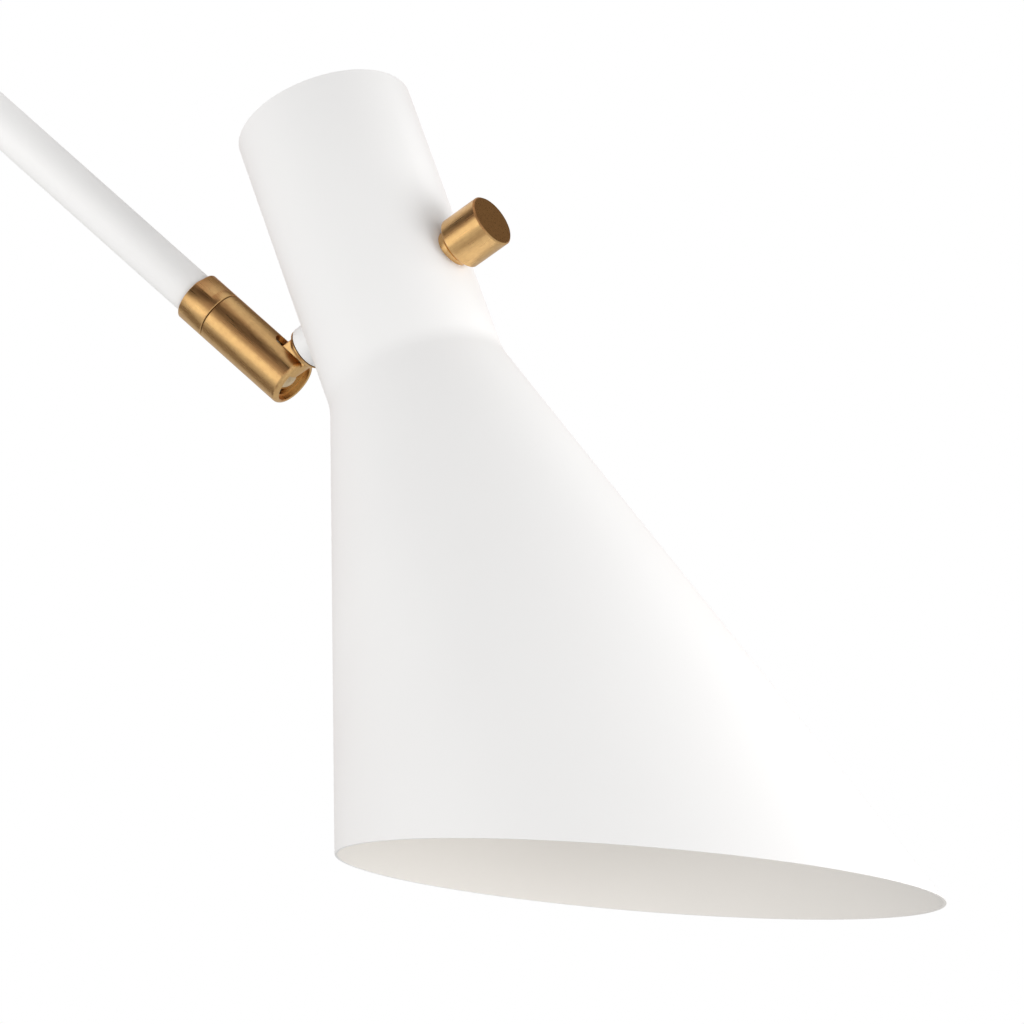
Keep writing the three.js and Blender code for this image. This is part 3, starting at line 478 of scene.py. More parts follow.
def turned(name, outline, facets=96):
    """A solid of revolution round +Z. The outline is [radius, height] pairs; an end off the axis joins the other."""
    start_clean()
    closed = outline[0][0] > 0 and outline[-1][0] > 0
    rings = [list(p) for p in outline] + ([list(outline[0])] if closed else [])
    on_axis_first = rings[0][0] == 0
    first = rings[1] if on_axis_first else rings[0]
    bpy.ops.mesh.primitive_circle_add(vertices=facets, radius=first[0], location=(0, 0, first[1]))
    obj = bpy.context.object
    obj.name = name
    bpy.ops.object.transform_apply(location=True, rotation=False, scale=False)
    bpy.ops.object.mode_set(mode="EDIT")
    bpy.ops.mesh.select_all(action="SELECT")
    if on_axis_first:
        bpy.ops.mesh.extrude_region_move(TRANSFORM_OT_translate={"value": (0, 0, rings[0][1] - first[1])})
        bpy.ops.mesh.merge(type="CENTER")
        bpy.ops.mesh.select_all(action="DESELECT")
        select_near(obj, lambda v: abs(v.z - first[1]) < SMALL and v.xy.length > SMALL)
        rings = rings[1:]
    radius, height = rings[0]
    for next_radius, next_height in rings[1:]:
        bpy.ops.mesh.extrude_region_move(TRANSFORM_OT_translate={"value": (0, 0, next_height - height)})
        if next_radius == 0:
            bpy.ops.mesh.merge(type="CENTER")
            break
        if next_radius != radius:
            share = next_radius / radius
            bpy.ops.transform.resize(value=(share, share, 1))
        radius, height = next_radius, next_height
    tidy_mesh()
    bpy.ops.object.mode_set(mode="OBJECT")
    return obj


def select_near(obj, test):
    """In edit mode: selects the corners that pass the test, and nothing else."""
    bpy.ops.object.mode_set(mode="OBJECT")
    for polygon in obj.data.polygons:
        polygon.select = False
    for edge in obj.data.edges:
        edge.select = False
    for vertex in obj.data.vertices:
        vertex.select = test(vertex.co)
    bpy.ops.object.mode_set(mode="EDIT")
    bpy.context.tool_settings.mesh_select_mode = (True, False, False)


def soften(obj, width, segments=2, angle=30):
    """Rounds every edge sharper than the angle, and makes the rounding part of the mesh."""
    pick(obj)
    bevel = obj.modifiers.new("soft_edges", "BEVEL")
    bevel.width = width
    bevel.segments = segments
    bevel.limit_method = "ANGLE"
    bevel.angle_limit = math.radians(angle)
    bevel.harden_normals = False
    bpy.ops.object.modifier_apply(modifier=bevel.name)


def cut_away(obj, *tools):
    """Cuts the tools' shapes out of obj and removes them."""
    for tool in tools:
        pick(obj)
        cut = obj.modifiers.new("cut", "BOOLEAN")
        cut.operation = "DIFFERENCE"
        cut.object = tool
        cut.solver = "EXACT"
        bpy.ops.object.modifier_apply(modifier=cut.name)
        bpy.data.objects.remove(tool)
    return obj


def join(obj, *others):
    """Joins the others' shapes to obj and removes them."""
    for other in others:
        pick(obj)
        union = obj.modifiers.new("join", "BOOLEAN")
        union.operation = "UNION"
        union.object = other
        union.solver = "EXACT"
        bpy.ops.object.modifier_apply(modifier=union.name)
        bpy.data.objects.remove(other)
    return obj


def lay(obj, where):
    """Sets a piece that was modelled upright into its place, and makes the place part of its mesh."""
    pick(obj)
    obj.matrix_world = where @ obj.matrix_world
    bpy.ops.object.transform_apply(location=True, rotation=True, scale=True)
    return obj


def finish_piece(obj, where, body, nodes, slot, *materials):
    """Lays a piece in place, smooths it, paints it and hands it to its body in the frame."""
    lay(obj, where)
    bpy.ops.object.mode_set(mode="EDIT")
    bpy.ops.mesh.select_all(action="SELECT")
    bpy.ops.mesh.dissolve_degenerate(threshold=SMALL)
    bpy.ops.object.mode_set(mode="OBJECT")
    bpy.ops.object.shade_smooth_by_angle(angle=SMOOTH_ANGLE)
    for material in materials:
        obj.data.materials.append(material)
    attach(obj, body)
    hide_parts(*nodes)
    triangles = sum(len(p.vertices) - 2 for p in obj.data.polygons)
    print(f"{obj.name}: {triangles} triangles, rides on {body}")
    return obj


def arc(centre_r, centre_z, radius, start, end, steps):
    """Points on an arc of an outline, between two angles in degrees."""
    return [
        [centre_r + radius * math.cos(math.radians(start + (end - start) * i / steps)),
         centre_z + radius * math.sin(math.radians(start + (end - start) * i / steps))]
        for i in range(steps + 1)
    ]


def reach(node, where):
    """A CAD node's largest radius from a place's line, and its lowest and highest point along it."""
    local = [where.inverted() @ v.co for v in frame["nodes"][node].data.vertices]
    return max(p.xy.length for p in local), min(p.z for p in local), max(p.z for p in local)


def round_bar(radius, low, high):
    """The outline of a plain solid bar."""
    return [[0, low], [radius, low], [radius, high], [0, high]]


def tube(inner, outer, low, high):
    """The outline of a plain tube."""
    return [[inner, low], [outer, low], [outer, high], [inner, high]]


print("helpers ready; the neck's radius is", round(reach("vent_cap", SHADE)[0] / MM, 1), "mm inside")

# %% [markdown]
# ## The shade
# The shade is one sheet of aluminium, spun over a former into a neck and a cone that meet in a soft bend, and then
# sawn off at a slant. It could be a cylinder and a cone joined by a bevel, but a single outline keeps the bend as
# smooth as spinning leaves it. The slanted mouth is a bisect: the cut is left open and its two rims are bridged.

# %% Spun shade
SHEET = 1.2 * MM
BEND_RADIUS = 28 * MM
CONE_ANGLE = 16.53
MOUTH_TILT = 29.58
RIM_ROUND = 0.3 * MM
SHADE_FACETS = 240
BEND_STEPS = 8

neck_radius = reach("vent_cap", SHADE)[0] + 0.3 * MM + SHEET
shade_low, shade_high = reach("shade", SHADE)[1:]
shade_width = [(SHADE.inverted() @ v.co).x for v in frame["nodes"]["shade"].data.vertices]
slope = math.tan(math.radians(CONE_ANGLE))
neck_end = shade_low + (max(shade_width) - neck_radius) / slope
mouth_tip = Vector((max(shade_width), 0, shade_low))
mouth_across = Vector((math.sin(math.radians(MOUTH_TILT)), 0, math.cos(math.radians(MOUTH_TILT))))


def shade_outline(inset, low):
    """The sheet's outer face, or the face a sheet's thickness inside it, from the rim down past the mouth."""
    bend = BEND_RADIUS + inset
    half_turn = math.tan(math.radians(CONE_ANGLE) / 2)
    corner = neck_end + inset * half_turn
    radius = neck_radius - inset
    curve = arc(radius + bend, corner + bend * half_turn, bend, 180, 180 + CONE_ANGLE, BEND_STEPS)
    return [[radius, shade_high]] + curve + [[radius + (corner - low) * slope, low]]


below = shade_low - 40 * MM
outline = shade_outline(0, below)[::-1] + shade_outline(SHEET, below)
shade = turned("spun_shade", outline, facets=SHADE_FACETS)
bpy.ops.object.mode_set(mode="EDIT")
bpy.ops.mesh.select_all(action="SELECT")
bpy.ops.mesh.bisect(plane_co=mouth_tip, plane_no=mouth_across, clear_inner=True, use_fill=False)
bpy.ops.mesh.bridge_edge_loops()
tidy_mesh()
bpy.ops.object.mode_set(mode="OBJECT")
soften(shade, RIM_ROUND, segments=2, angle=40)
print("neck ends", round(neck_end / MM, 1), "mm from the knuckle; mouth tip at", [round(x / MM, 1) for x in mouth_tip])

# %% [markdown]
# The neck is pierced on two sides, for the stud that carries the shade and for the switch. The holes hide under
# the boss and the bushing, but a mesh that is one honest sheet needs them. The inside gets a second material, a
# warmer and darker white that paints in the shade and warm bounced light inside the cone: faces that look towards the
# axis get it.

# %% Holes in the neck, and the painted warm shade inside
stud_radius = reach("tie_rod", POLE)[0] + 0.3 * MM
bush_radius = 5.0 * MM
PAST = 5 * MM  # how far a drill runs out past the surface
NECK_GAP = 0.05 * MM
NECK_TOOL_HALF = 25 * MM


def drill(where, radius, low, high, facets=48):
    """A cutting bar along a place's line."""
    return lay(turned("drill", round_bar(radius, low, high), facets), where)


def neck_tool():
    """A bar a hair thicker than the neck, which hollows what has to fit round it."""
    bar = round_bar(neck_radius + NECK_GAP, -NECK_TOOL_HALF, NECK_TOOL_HALF)
    return lay(turned("neck_tool", bar, SHADE_FACETS), SHADE)


def milling_block(size, centre, turn=0):
    """A block that mills a flat: placed with its middle at centre, then turned round +Z."""
    start_clean()
    bpy.ops.mesh.primitive_cube_add(size=1)
    block = bpy.context.object
    block.scale = size
    block.location = centre
    bpy.ops.object.transform_apply(location=True, rotation=False, scale=True)
    block.rotation_euler = (0, 0, turn)
    bpy.ops.object.transform_apply(location=False, rotation=True, scale=False)
    return block


toward_stud = SHADE.inverted() @ STEM
toward_switch = SHADE.inverted() @ SWITCH
cut_away(
    shade,
    drill(toward_stud, stud_radius, 15 * MM, 30 * MM),
    drill(toward_switch, bush_radius, 24 * MM, 40 * MM),
)
shade.data.materials.append(white_coat)
# The second material is painted shade: faces that look towards the axis get the darker, warmer white.
shade.data.materials.append(painted_warm_shade_coat)
for polygon in shade.data.polygons:
    outward = Vector((polygon.center.x, polygon.center.y, 0))
    polygon.material_index = 1 if polygon.normal.dot(outward) < 0 else 0
finish_piece(shade, SHADE, "head", ["shade"], "white_shade")

# %% [markdown]
# ## The switch
# A rotary switch sits in the lampholder and its shaft comes out through the neck. The bushing that clamps it is
# stepped: a flange that is hollowed to fit the neck, and a narrower collar in the knob's shadow. The knob is a
# plain turned cylinder with a crisp bevel on its face, and a set screw on its upper side holds it on the shaft.

# %% Switch bushing and knob
bushing_r, bushing_low, bushing_high = reach("switch_bushing", SWITCH)
knob_r, knob_low, knob_high = reach("switch_knob", SWITCH)
shaft_hole = 2.8 * MM
sleeve_r = 4.7 * MM
collar_r = 5.8 * MM
flange_back = neck_radius - 2 * MM
step = neck_radius + 1.7 * MM
FLANGE_EDGE = 0.3 * MM
COLLAR_EDGE = 0.2 * MM
KNOB_BEVEL = 0.5 * MM
KNOB_FACE = 5 * MM  # the solid metal in front of the shaft's end
SCREW_AIR = 0.3 * MM
bushing = turned("stepped_bushing", [
    [shaft_hole, bushing_low], [sleeve_r, bushing_low], [sleeve_r, flange_back], [bushing_r, flange_back],
    [bushing_r, step - FLANGE_EDGE], [bushing_r - FLANGE_EDGE, step], [collar_r, step],
    [collar_r, bushing_high - COLLAR_EDGE], [collar_r - COLLAR_EDGE, bushing_high], [shaft_hole, bushing_high],
], 96)
lay(bushing, SWITCH)
sleeve_keep = drill(SWITCH, sleeve_r, 0, neck_radius + 1 * MM, 96)
cut_away(bushing, cut_away(neck_tool(), sleeve_keep))
finish_piece(bushing, Matrix.Identity(4), "head", ["switch_bushing"], "brass", brass_on_stem)

knob_bore = knob_high - KNOB_FACE
knob = turned("turned_knob", [
    [0, knob_bore], [shaft_hole, knob_bore], [shaft_hole, knob_low], [knob_r - KNOB_BEVEL, knob_low],
    [knob_r, knob_low + KNOB_BEVEL], [knob_r, knob_high - KNOB_BEVEL], [knob_r - KNOB_BEVEL, knob_high],
    [0, knob_high],
], 160)
set_low, set_high = reach("knob_set_screw", SWITCH)[1:]
set_r = (set_high - set_low) / 2
set_at = SWITCH @ Matrix.Translation((0, 0, set_low + set_r)) @ Matrix.Rotation(math.pi / 2, 4, "Y")
lay(knob, SWITCH)
cut_away(knob, drill(set_at, set_r + SCREW_AIR, 1 * MM, knob_r + PAST, 32))
finish_piece(knob, Matrix.Identity(4), "switch_knob", ["switch_knob"], "brass", brass_on_stem)
print("knob", round(2 * knob_r / MM, 1), "mm across and", round((knob_high - knob_low) / MM, 1), "mm long")

# %% [markdown]
# ## The knuckle
# The knuckle is what the eye goes to: a slotted brass barrel with a rounded mouth, a polished ball inside it, and
# a stem that leaves through the slot. The barrel is turned like the rest. Its slot is cut with a milling cutter, so
# it is modelled as one too: a round bar for the cutter's end and a block for its path, taken away with a boolean.

# %% Slotted barrel
barrel_r, barrel_low, barrel_high = reach("swivel_barrel", BARREL)
ball_r = -reach("ball_stud", STEM)[1]
MOUTH_ROUND = 2.0 * MM
MOUTH_BORE = 7.6 * MM
BALL_BORE = ball_r + 0.35 * MM
LIP_RADIUS = 6.5 * MM
NIPPLE_RADIUS = 4.3 * MM
BARREL_FLOOR = 4.4 * MM
BARREL_EDGE = 0.25 * MM
LIP_FRONT = 2.2 * MM  # these three run back from the mouth
LIP_BACK = 3.9 * MM
BORE_FRONT = 4.8 * MM
SLOT_EDGE = 0.22 * MM
SLOT_HALF = 3.5 * MM
SLOT_BACK = 3.9 * MM  # the cutter stopped this far behind the ball


def slot_cutter():
    """A cutter's path: a round end behind the ball, and straight sides out through the mouth."""
    start_clean()
    bpy.ops.mesh.primitive_cylinder_add(vertices=64, radius=SLOT_HALF, depth=1, location=(0, 0, 0))
    cutter = bpy.context.object
    bpy.ops.object.mode_set(mode="EDIT")
    bpy.ops.mesh.select_all(action="SELECT")
    bpy.ops.transform.resize(value=(1, 1, barrel_r + 2 * MM))
    bpy.ops.transform.translate(value=(0, 0, barrel_r / 2 + 1 * MM))
    select_near(cutter, lambda v: v.y > SMALL)
    bpy.ops.transform.translate(value=(0, barrel_high + SLOT_BACK + 10 * MM, 0))
    bpy.ops.object.mode_set(mode="OBJECT")
    # The cutter stands on +Z. Laid down, it looks along the barrel's +X and travels along +Z.
    cutter.matrix_world = Matrix.Translation((0, 0, -SLOT_BACK)) @ Matrix((
        (0, 0, 1, 0), (-1, 0, 0, 0), (0, 1, 0, 0), (0, 0, 0, 1)))
    bpy.ops.object.transform_apply(location=True, rotation=True, scale=True)
    bpy.ops.object.mode_set(mode="EDIT")
    tidy_mesh()
    bpy.ops.object.mode_set(mode="OBJECT")
    return cutter


barrel = turned("slotted_barrel", [
    [NIPPLE_RADIUS, barrel_low], [barrel_r - BARREL_EDGE, barrel_low], [barrel_r, barrel_low + BARREL_EDGE],
    *arc(barrel_r - MOUTH_ROUND, barrel_high - MOUTH_ROUND, MOUTH_ROUND, 0, 90, 8)[:-1],
    [MOUTH_BORE + 0.35 * MM, barrel_high - 0.05 * MM], [MOUTH_BORE, barrel_high - 0.4 * MM],
    [MOUTH_BORE, barrel_high - LIP_FRONT], [LIP_RADIUS, barrel_high - LIP_FRONT],
    [LIP_RADIUS, barrel_high - LIP_BACK], [BALL_BORE, barrel_high - BORE_FRONT],
    [BALL_BORE, barrel_low + BARREL_FLOOR], [NIPPLE_RADIUS, barrel_low + BARREL_FLOOR],
], 160)
cut_away(barrel, slot_cutter())
soften(barrel, SLOT_EDGE, segments=3, angle=50)
finish_piece(barrel, BARREL, "barrel", ["swivel_barrel"], "brass", brass_on_arm)

# %% [markdown]
# The ball and its stem are one turned part with two flats milled on the stem, so that it passes the slot but is
# strong in the direction of the tilt. A threaded end goes on through the flared washer and the boss. The ball is
# polished, where everything round it is brushed, because the seat rubs on it.

# %% Polished brass and the ball stud
STEM_RADIUS = 6.0 * MM
STEM_HALF = 3.2 * MM
STEM_GAP = 0.3 * MM
FLAT_TOOL = Vector((20, 10, 30)) * MM
THREAD_RADIUS = 4.8 * MM
THREAD_EDGE = 0.5 * MM
OVERLAP = 0.05 * MM
POLISH_DARK = (0.62, 0.47, 0.29)
POLISH_BRIGHT = (0.85, 0.68, 0.44)
stud_high = reach("ball_stud", STEM)[2]
flange_r, flange_low, flange_high = reach("stud_flange", STEM)


def polished_brass(name, lie):
    material, tree, shader = blank_material(name, BRASS_BRIGHT, 0.16, metallic=1.0)
    rubbed = noise(tree, pattern_space(tree, lie), 380.0, detail=3.0)
    wire(tree, tint(tree, rubbed, (0.35, POLISH_DARK), (0.65, POLISH_BRIGHT)), shader.inputs["Base Color"])
    wire(tree, between(tree, rubbed, 0.10, 0.24), shader.inputs["Roughness"])
    return material


ball_brass = polished_brass("polished_ball_brass", STEM)
stem_top = flange_low - STEM_GAP
stem = turned("stem", round_bar(STEM_RADIUS, 0, stem_top), 96)
for side in (-1, 1):
    cut_away(stem, milling_block(FLAT_TOOL, (0, side * (STEM_HALF + FLAT_TOOL.y / 2), 0)))
ball_stud = turned("ball_and_stem", [
    [0, -ball_r], *arc(0, 0, ball_r, -90, 90, 40)[1:-1], [0, ball_r]], 128)
thread = turned("thread", [
    [0, stem_top - OVERLAP], [THREAD_RADIUS, stem_top - OVERLAP], [THREAD_RADIUS, stud_high - THREAD_EDGE],
    [THREAD_RADIUS - THREAD_EDGE, stud_high], [0, stud_high]], 96)
join(ball_stud, stem)
join(ball_stud, thread)
finish_piece(ball_stud, STUD, "stud", ["ball_stud"], "brass", ball_brass, brass_on_stem)
for polygon in ball_stud.data.polygons:
    polygon.material_index = 0 if (polygon.center - ball_point).length < ball_r + SMALL else 1
print("ball", round(2 * ball_r / MM, 1), "mm across")

# %% [markdown]
# The washer between the stem and the boss flares like a trumpet to a thin rim. The flare is an arc in the outline,
# hollow on the side of the ball. The boss behind it is white like the shade, and its inner end is cut to the curve
# of the neck, so that no light shows between them.

# %% Flared washer and boss
FLARE_STEPS = 7
throat = 6.3 * MM
rod_hole = 5.1 * MM
rim = 0.35 * MM
flare_height = flange_high - rim - flange_low
flare = [
    [flange_r - (flange_r - throat) * math.cos(math.radians(90 * i / FLARE_STEPS)),
     flange_low + flare_height * math.sin(math.radians(90 * i / FLARE_STEPS))]
    for i in range(FLARE_STEPS + 1)
]
flange = turned("flared_washer", [[rod_hole, flange_low], *flare, [flange_r, flange_high], [rod_hole, flange_high]], 96)
finish_piece(flange, STEM, "stud", ["stud_flange"], "brass", brass_on_stem)

BOSS_EDGE = 0.5 * MM
boss_r, boss_low, boss_high = reach("boss", STEM)
boss = turned("boss_stub", [
    [rod_hole, boss_low], [boss_r - BOSS_EDGE, boss_low], [boss_r, boss_low + BOSS_EDGE], [boss_r, boss_high],
    [rod_hole, boss_high],
], 96)
lay(boss, STEM)
cut_away(boss, neck_tool())
soften(boss, 0.12 * MM, angle=35)
finish_piece(boss, Matrix.Identity(4), "head", ["boss"], "white_shade", white_coat)

# %% [markdown]
# Behind the barrel sits the collar that joins it to the arm. It has two milled flats for a wrench. A flat is a
# plane cut across a round piece, so the block that cuts it only has to stop short of the collar's front edge.

# %% Collar with wrench flats
collar_r, collar_low, collar_high = reach("arm_collar", ARM)
FLAT_DEPTH = 0.85 * MM
FLAT_LENGTH = 8.2 * MM
FLAT_TURN = math.radians(40.4)
BLOCK_THICK = 10 * MM
BLOCK_PAST = 10 * MM  # how far the block runs out past the collar's back end
FRONT_WALL = 2.2 * MM
BACK_EDGE = 0.3 * MM
FRONT_EDGE = 0.25 * MM
tube_radius = reach("arm_tube", ARM)[0]
tube_hole = tube_radius + 0.1 * MM
collar = turned("flatted_collar", [
    [tube_hole, collar_low], [collar_r - BACK_EDGE, collar_low], [collar_r, collar_low + BACK_EDGE],
    [collar_r, collar_high - FRONT_EDGE], [collar_r - FRONT_EDGE, collar_high], [NIPPLE_RADIUS, collar_high],
    [NIPPLE_RADIUS, collar_high - FRONT_WALL], [tube_hole, collar_high - FRONT_WALL],
], 160)
block_size = (BLOCK_THICK, 3 * BLOCK_THICK, FLAT_LENGTH + BLOCK_PAST)
block_middle = (collar_r - FLAT_DEPTH + BLOCK_THICK / 2, 0, collar_low + (FLAT_LENGTH - BLOCK_PAST) / 2)
for turn in (FLAT_TURN, FLAT_TURN + math.pi):
    cut_away(collar, milling_block(block_size, block_middle, turn))
soften(collar, 0.12 * MM, segments=2, angle=25)
finish_piece(collar, ARM, "arm", ["arm_collar"], "brass", brass_on_arm)

# %% [markdown]
# ## The arm
# The arm is a long thin tube with a counterweight at its tail. A tube's outline is a plain box, so what makes it a
# tube is the finish, the rounded ends and its hollow ends. The counterweight is turned from bar and has a shallow
# groove near each end; a grub screw underneath clamps it.

# %% Arm tube and counterweight
ARM_WALL = 1.2 * MM
PIPE_EDGE = 0.2 * MM
rear, front = reach("arm_tube", ARM)[1:]
pipe = turned("arm_pipe", tube(tube_radius - ARM_WALL, tube_radius, rear, front), 128)
soften(pipe, PIPE_EDGE)
finish_piece(pipe, ARM, "arm", ["arm_tube"], "white_paint", white_coat)

GROOVE = 0.6 * MM
WEIGHT_ROUND = 2 * MM
GROOVE_AT = 10 * MM  # from each end of the counterweight
SCREW_AT = 12 * MM
SCREW_RADIUS = 2 * MM
SCREW_SUNK = 0.5 * MM


def grooved(radius, low, high, at):
    """The outside of a bar from low to high, with a shallow groove round it at each height."""
    points = [[radius, low]]
    for height in at:
        points += [[radius, height - GROOVE], [radius - GROOVE, height - GROOVE],
                   [radius - GROOVE, height + GROOVE], [radius, height + GROOVE]]
    return points + [[radius, high]]


def grub_screw(name, where, radius, low, high, node, body):
    """A grub screw with a hexagon socket in its end. Its place has +Z out of the socket."""
    screw = turned(name, [
        [0, low], [radius, low], [radius, high - 0.3 * radius], [0.75 * radius, high], [0, high]], 32)
    socket = turned("socket", round_bar(0.55 * radius, high - radius, high + radius), 6)
    cut_away(screw, socket)
    return finish_piece(screw, where, body, [node], "steel", zinc_steel)


weight_r, weight_low, weight_high = reach("counterweight", ARM)
weight_at = ARM @ Matrix.Translation((0, 0, weight_high - SCREW_AT)) @ Matrix.Rotation(-math.pi / 2, 4, "Y")
counterpoise = turned("counterpoise", [
    [0, weight_low], [weight_r - WEIGHT_ROUND, weight_low],
    *arc(weight_r - WEIGHT_ROUND, weight_low + WEIGHT_ROUND, WEIGHT_ROUND, -90, 0, 6)[1:-1],
    *grooved(weight_r, weight_low + WEIGHT_ROUND, weight_high - WEIGHT_ROUND,
             (weight_low + GROOVE_AT, weight_high - GROOVE_AT)),
    *arc(weight_r - WEIGHT_ROUND, weight_high - WEIGHT_ROUND, WEIGHT_ROUND, 0, 90, 6)[1:],
    [tube_hole, weight_high], [tube_hole, rear - PIPE_EDGE], [0, rear - PIPE_EDGE],
], 160)
lay(counterpoise, ARM)
cut_away(counterpoise, drill(weight_at, SCREW_RADIUS + SCREW_AIR, tube_radius, weight_r + PAST, 32))
finish_piece(counterpoise, Matrix.Identity(4), "arm", ["counterweight"], "brass", brass_on_arm)
grub_screw("weight_grub_screw", weight_at, SCREW_RADIUS, tube_radius + SCREW_AIR, weight_r - SCREW_SUNK,
           "counterweight_screw", "arm")
print("counterpoise", round(2 * weight_r / MM), "mm across")

# %% [markdown]
# ## The pivot
# The arm is held beside the pole. A turning head sits on a spindle at the pole's top, with a cross hub through it;
# the arm's clamp presses against one end of the hub, and a knob on the far end draws the bolt tight. Head and clamp
# are two round bars that cross, joined by a boolean and then bored, just as a machinist would bore them.

# %% Turning head and clamp
ACROSS = place(pivot_point, (0, 1, 0), arm_line)
head_r = reach("swivel_cap", POLE)[0]
head_low, head_high = reach("swivel_head", POLE)[1:]
hub_low, hub_high = reach("swivel_head", CROSS)[1:]
HUB_RADIUS = 11 * MM
BOLT_HOLE = 4.3 * MM
HUB_ROOT = 3.1 * MM  # inside the sleeve, where the hub starts
EASE = 0.5 * MM
SPINDLE_ROOM = 9 * MM  # radius of the hollow over the spindle
SPINDLE_FLOOR = 12 * MM
CAP_SKIRT = 8.7 * MM
CAP_EDGE = 0.3 * MM
CAP_ROUND = 2.5 * MM
CLAMP_RADIUS = 11.5 * MM


def eased_bar(radius, low, high, ease=EASE):
    """The outline of a solid bar with both ends chamfered."""
    return [[0, low], [radius - ease, low], [radius, low + ease], [radius, high - ease], [radius - ease, high],
            [0, high]]


def eased_tube(inner, outer, low, high, ease=EASE):
    """The outline of a tube whose outer edges are chamfered."""
    return [[inner, low], [outer - ease, low], [outer, low + ease], [outer, high - ease], [outer - ease, high],
            [inner, high]]


turning_head = lay(turned("pivot_body", eased_bar(head_r, head_low, head_high), 128), POLE)
join(turning_head, lay(turned("hub", eased_bar(HUB_RADIUS, hub_low, hub_high), 128), CROSS))
cut_away(
    turning_head,
    drill(POLE, SPINDLE_ROOM, head_low + SPINDLE_FLOOR, head_high + PAST, 96),
    drill(POLE, rod_hole, head_low - PAST, head_low + SPINDLE_FLOOR + 3 * MM),
    drill(CROSS, BOLT_HOLE, hub_low - PAST, hub_high + PAST),
)
finish_piece(turning_head, Matrix.Identity(4), "swivel", ["swivel_head"], "brass", brass_on_pole)

cap_low, cap_high = reach("swivel_cap", POLE)[1:]
cap_seat = head_high + CAP_EDGE
cap = turned("pivot_cap", [
    [0, cap_low], [CAP_SKIRT, cap_low], [CAP_SKIRT, cap_seat], [head_r - CAP_EDGE, cap_seat],
    [head_r, cap_seat + CAP_EDGE], *arc(head_r - CAP_ROUND, cap_high - CAP_ROUND, CAP_ROUND, 0, 90, 7),
    [0, cap_high],
], 128)
finish_piece(cap, POLE, "swivel", ["swivel_cap"], "brass", brass_on_pole)

clamp_hub_r = HUB_RADIUS - 0.3 * MM
sleeve_low, sleeve_high = reach("arm_clamp", ARM)[1:]
clamp_face = reach("arm_clamp", ACROSS)[2]
screw_x = (reach("clamp_screw", ARM)[1] + reach("clamp_screw", ARM)[2]) / 2
screw_at = ARM @ Matrix.Translation((0, 0, screw_x)) @ Matrix.Rotation(-math.pi / 2, 4, "X")
to_pivot = ARM.inverted() @ ACROSS
clamp = turned("clamp_block", eased_bar(CLAMP_RADIUS, sleeve_low, sleeve_high), 128)
join(clamp, lay(turned("hub", [
    [0, HUB_ROOT], [clamp_hub_r, HUB_ROOT], [clamp_hub_r, clamp_face - EASE], [clamp_hub_r - EASE, clamp_face],
    [0, clamp_face]], 120), to_pivot))
cut_away(
    clamp,
    drill(Matrix.Identity(4), tube_hole, sleeve_low - PAST, sleeve_high + PAST, 100),
    drill(to_pivot, BOLT_HOLE, tube_radius + 2.5 * MM, clamp_face + PAST),
    drill(ARM.inverted() @ screw_at, SCREW_RADIUS + SCREW_AIR, tube_radius, CLAMP_RADIUS + PAST, 32),
)
finish_piece(clamp, ARM, "arm", ["arm_clamp"], "brass", brass_on_arm)
grub_screw("clamp_grub_screw", screw_at, SCREW_RADIUS, tube_radius + SCREW_AIR, CLAMP_RADIUS - SCREW_SUNK,
           "clamp_screw", "arm")

# %% [markdown]
# The clamp knob is the switch knob's larger sister: a plain cylinder with a crisp bevel, and a band of fine grooves
# for the fingers. The washers between the moving faces are nylon and only their edges show.

# %% Clamp knob and washers
grip_r, grip_low, grip_high = reach("clamp_knob", ACROSS)
GRIP_BEVEL = 0.9 * MM
GRIP_GROOVES = 5
RING_EDGE = 0.25 * MM
grip_bore = grip_low + 11 * MM
grip = turned("clamp_knob_cap", [
    [0, grip_bore], [BOLT_HOLE, grip_bore], [BOLT_HOLE, grip_low], [grip_r - EASE, grip_low],
    *grooved(grip_r, grip_low + EASE, grip_high - GRIP_BEVEL,
             [grip_low + (6 + 2.5 * i) * MM for i in range(GRIP_GROOVES)]),
    [grip_r - GRIP_BEVEL, grip_high], [0, grip_high],
], 128)
finish_piece(grip, ACROSS, "clamp_knob", ["clamp_knob"], "brass", brass_on_cross)

for name, node, where, hole, body in (
    ("swivel_bearing_ring", "swivel_washer", POLE, rod_hole, "stand"),
    ("clamp_bearing_ring", "friction_washer", ACROSS, BOLT_HOLE, "arm"),
):
    ring_r, ring_low, ring_high = reach(node, where)
    washer = turned(name, eased_tube(hole, ring_r, ring_low, ring_high, RING_EDGE), 96)
    finish_piece(washer, where, body, [node], "nylon", natural_nylon)

# %% [markdown]
# ## The pole
# The pole comes apart for packing, so it is two tubes and a coupler. The brass fittings at its joints share one
# language with the knuckle: plain cylinders, a thin groove where two parts meet, and eased edges.

# %% Pole tubes and fittings
POLE_WALL = 1.5 * MM
WEB_HALF = 3 * MM
SPINDLE_RADIUS = 4.8 * MM
SPINDLE_BORE = 3 * MM
SPINDLE_WEB = 8 * MM
pole_r = reach("lower_pole", POLE)[0]
for name, node in (("lower_pipe", "lower_pole"), ("upper_pipe", "upper_pole")):
    low, high = reach(node, POLE)[1:]
    pipe = turned(name, tube(pole_r - POLE_WALL, pole_r, low, high), 128)
    soften(pipe, PIPE_EDGE)
    finish_piece(pipe, POLE, "stand", [node], "white_paint", white_coat)

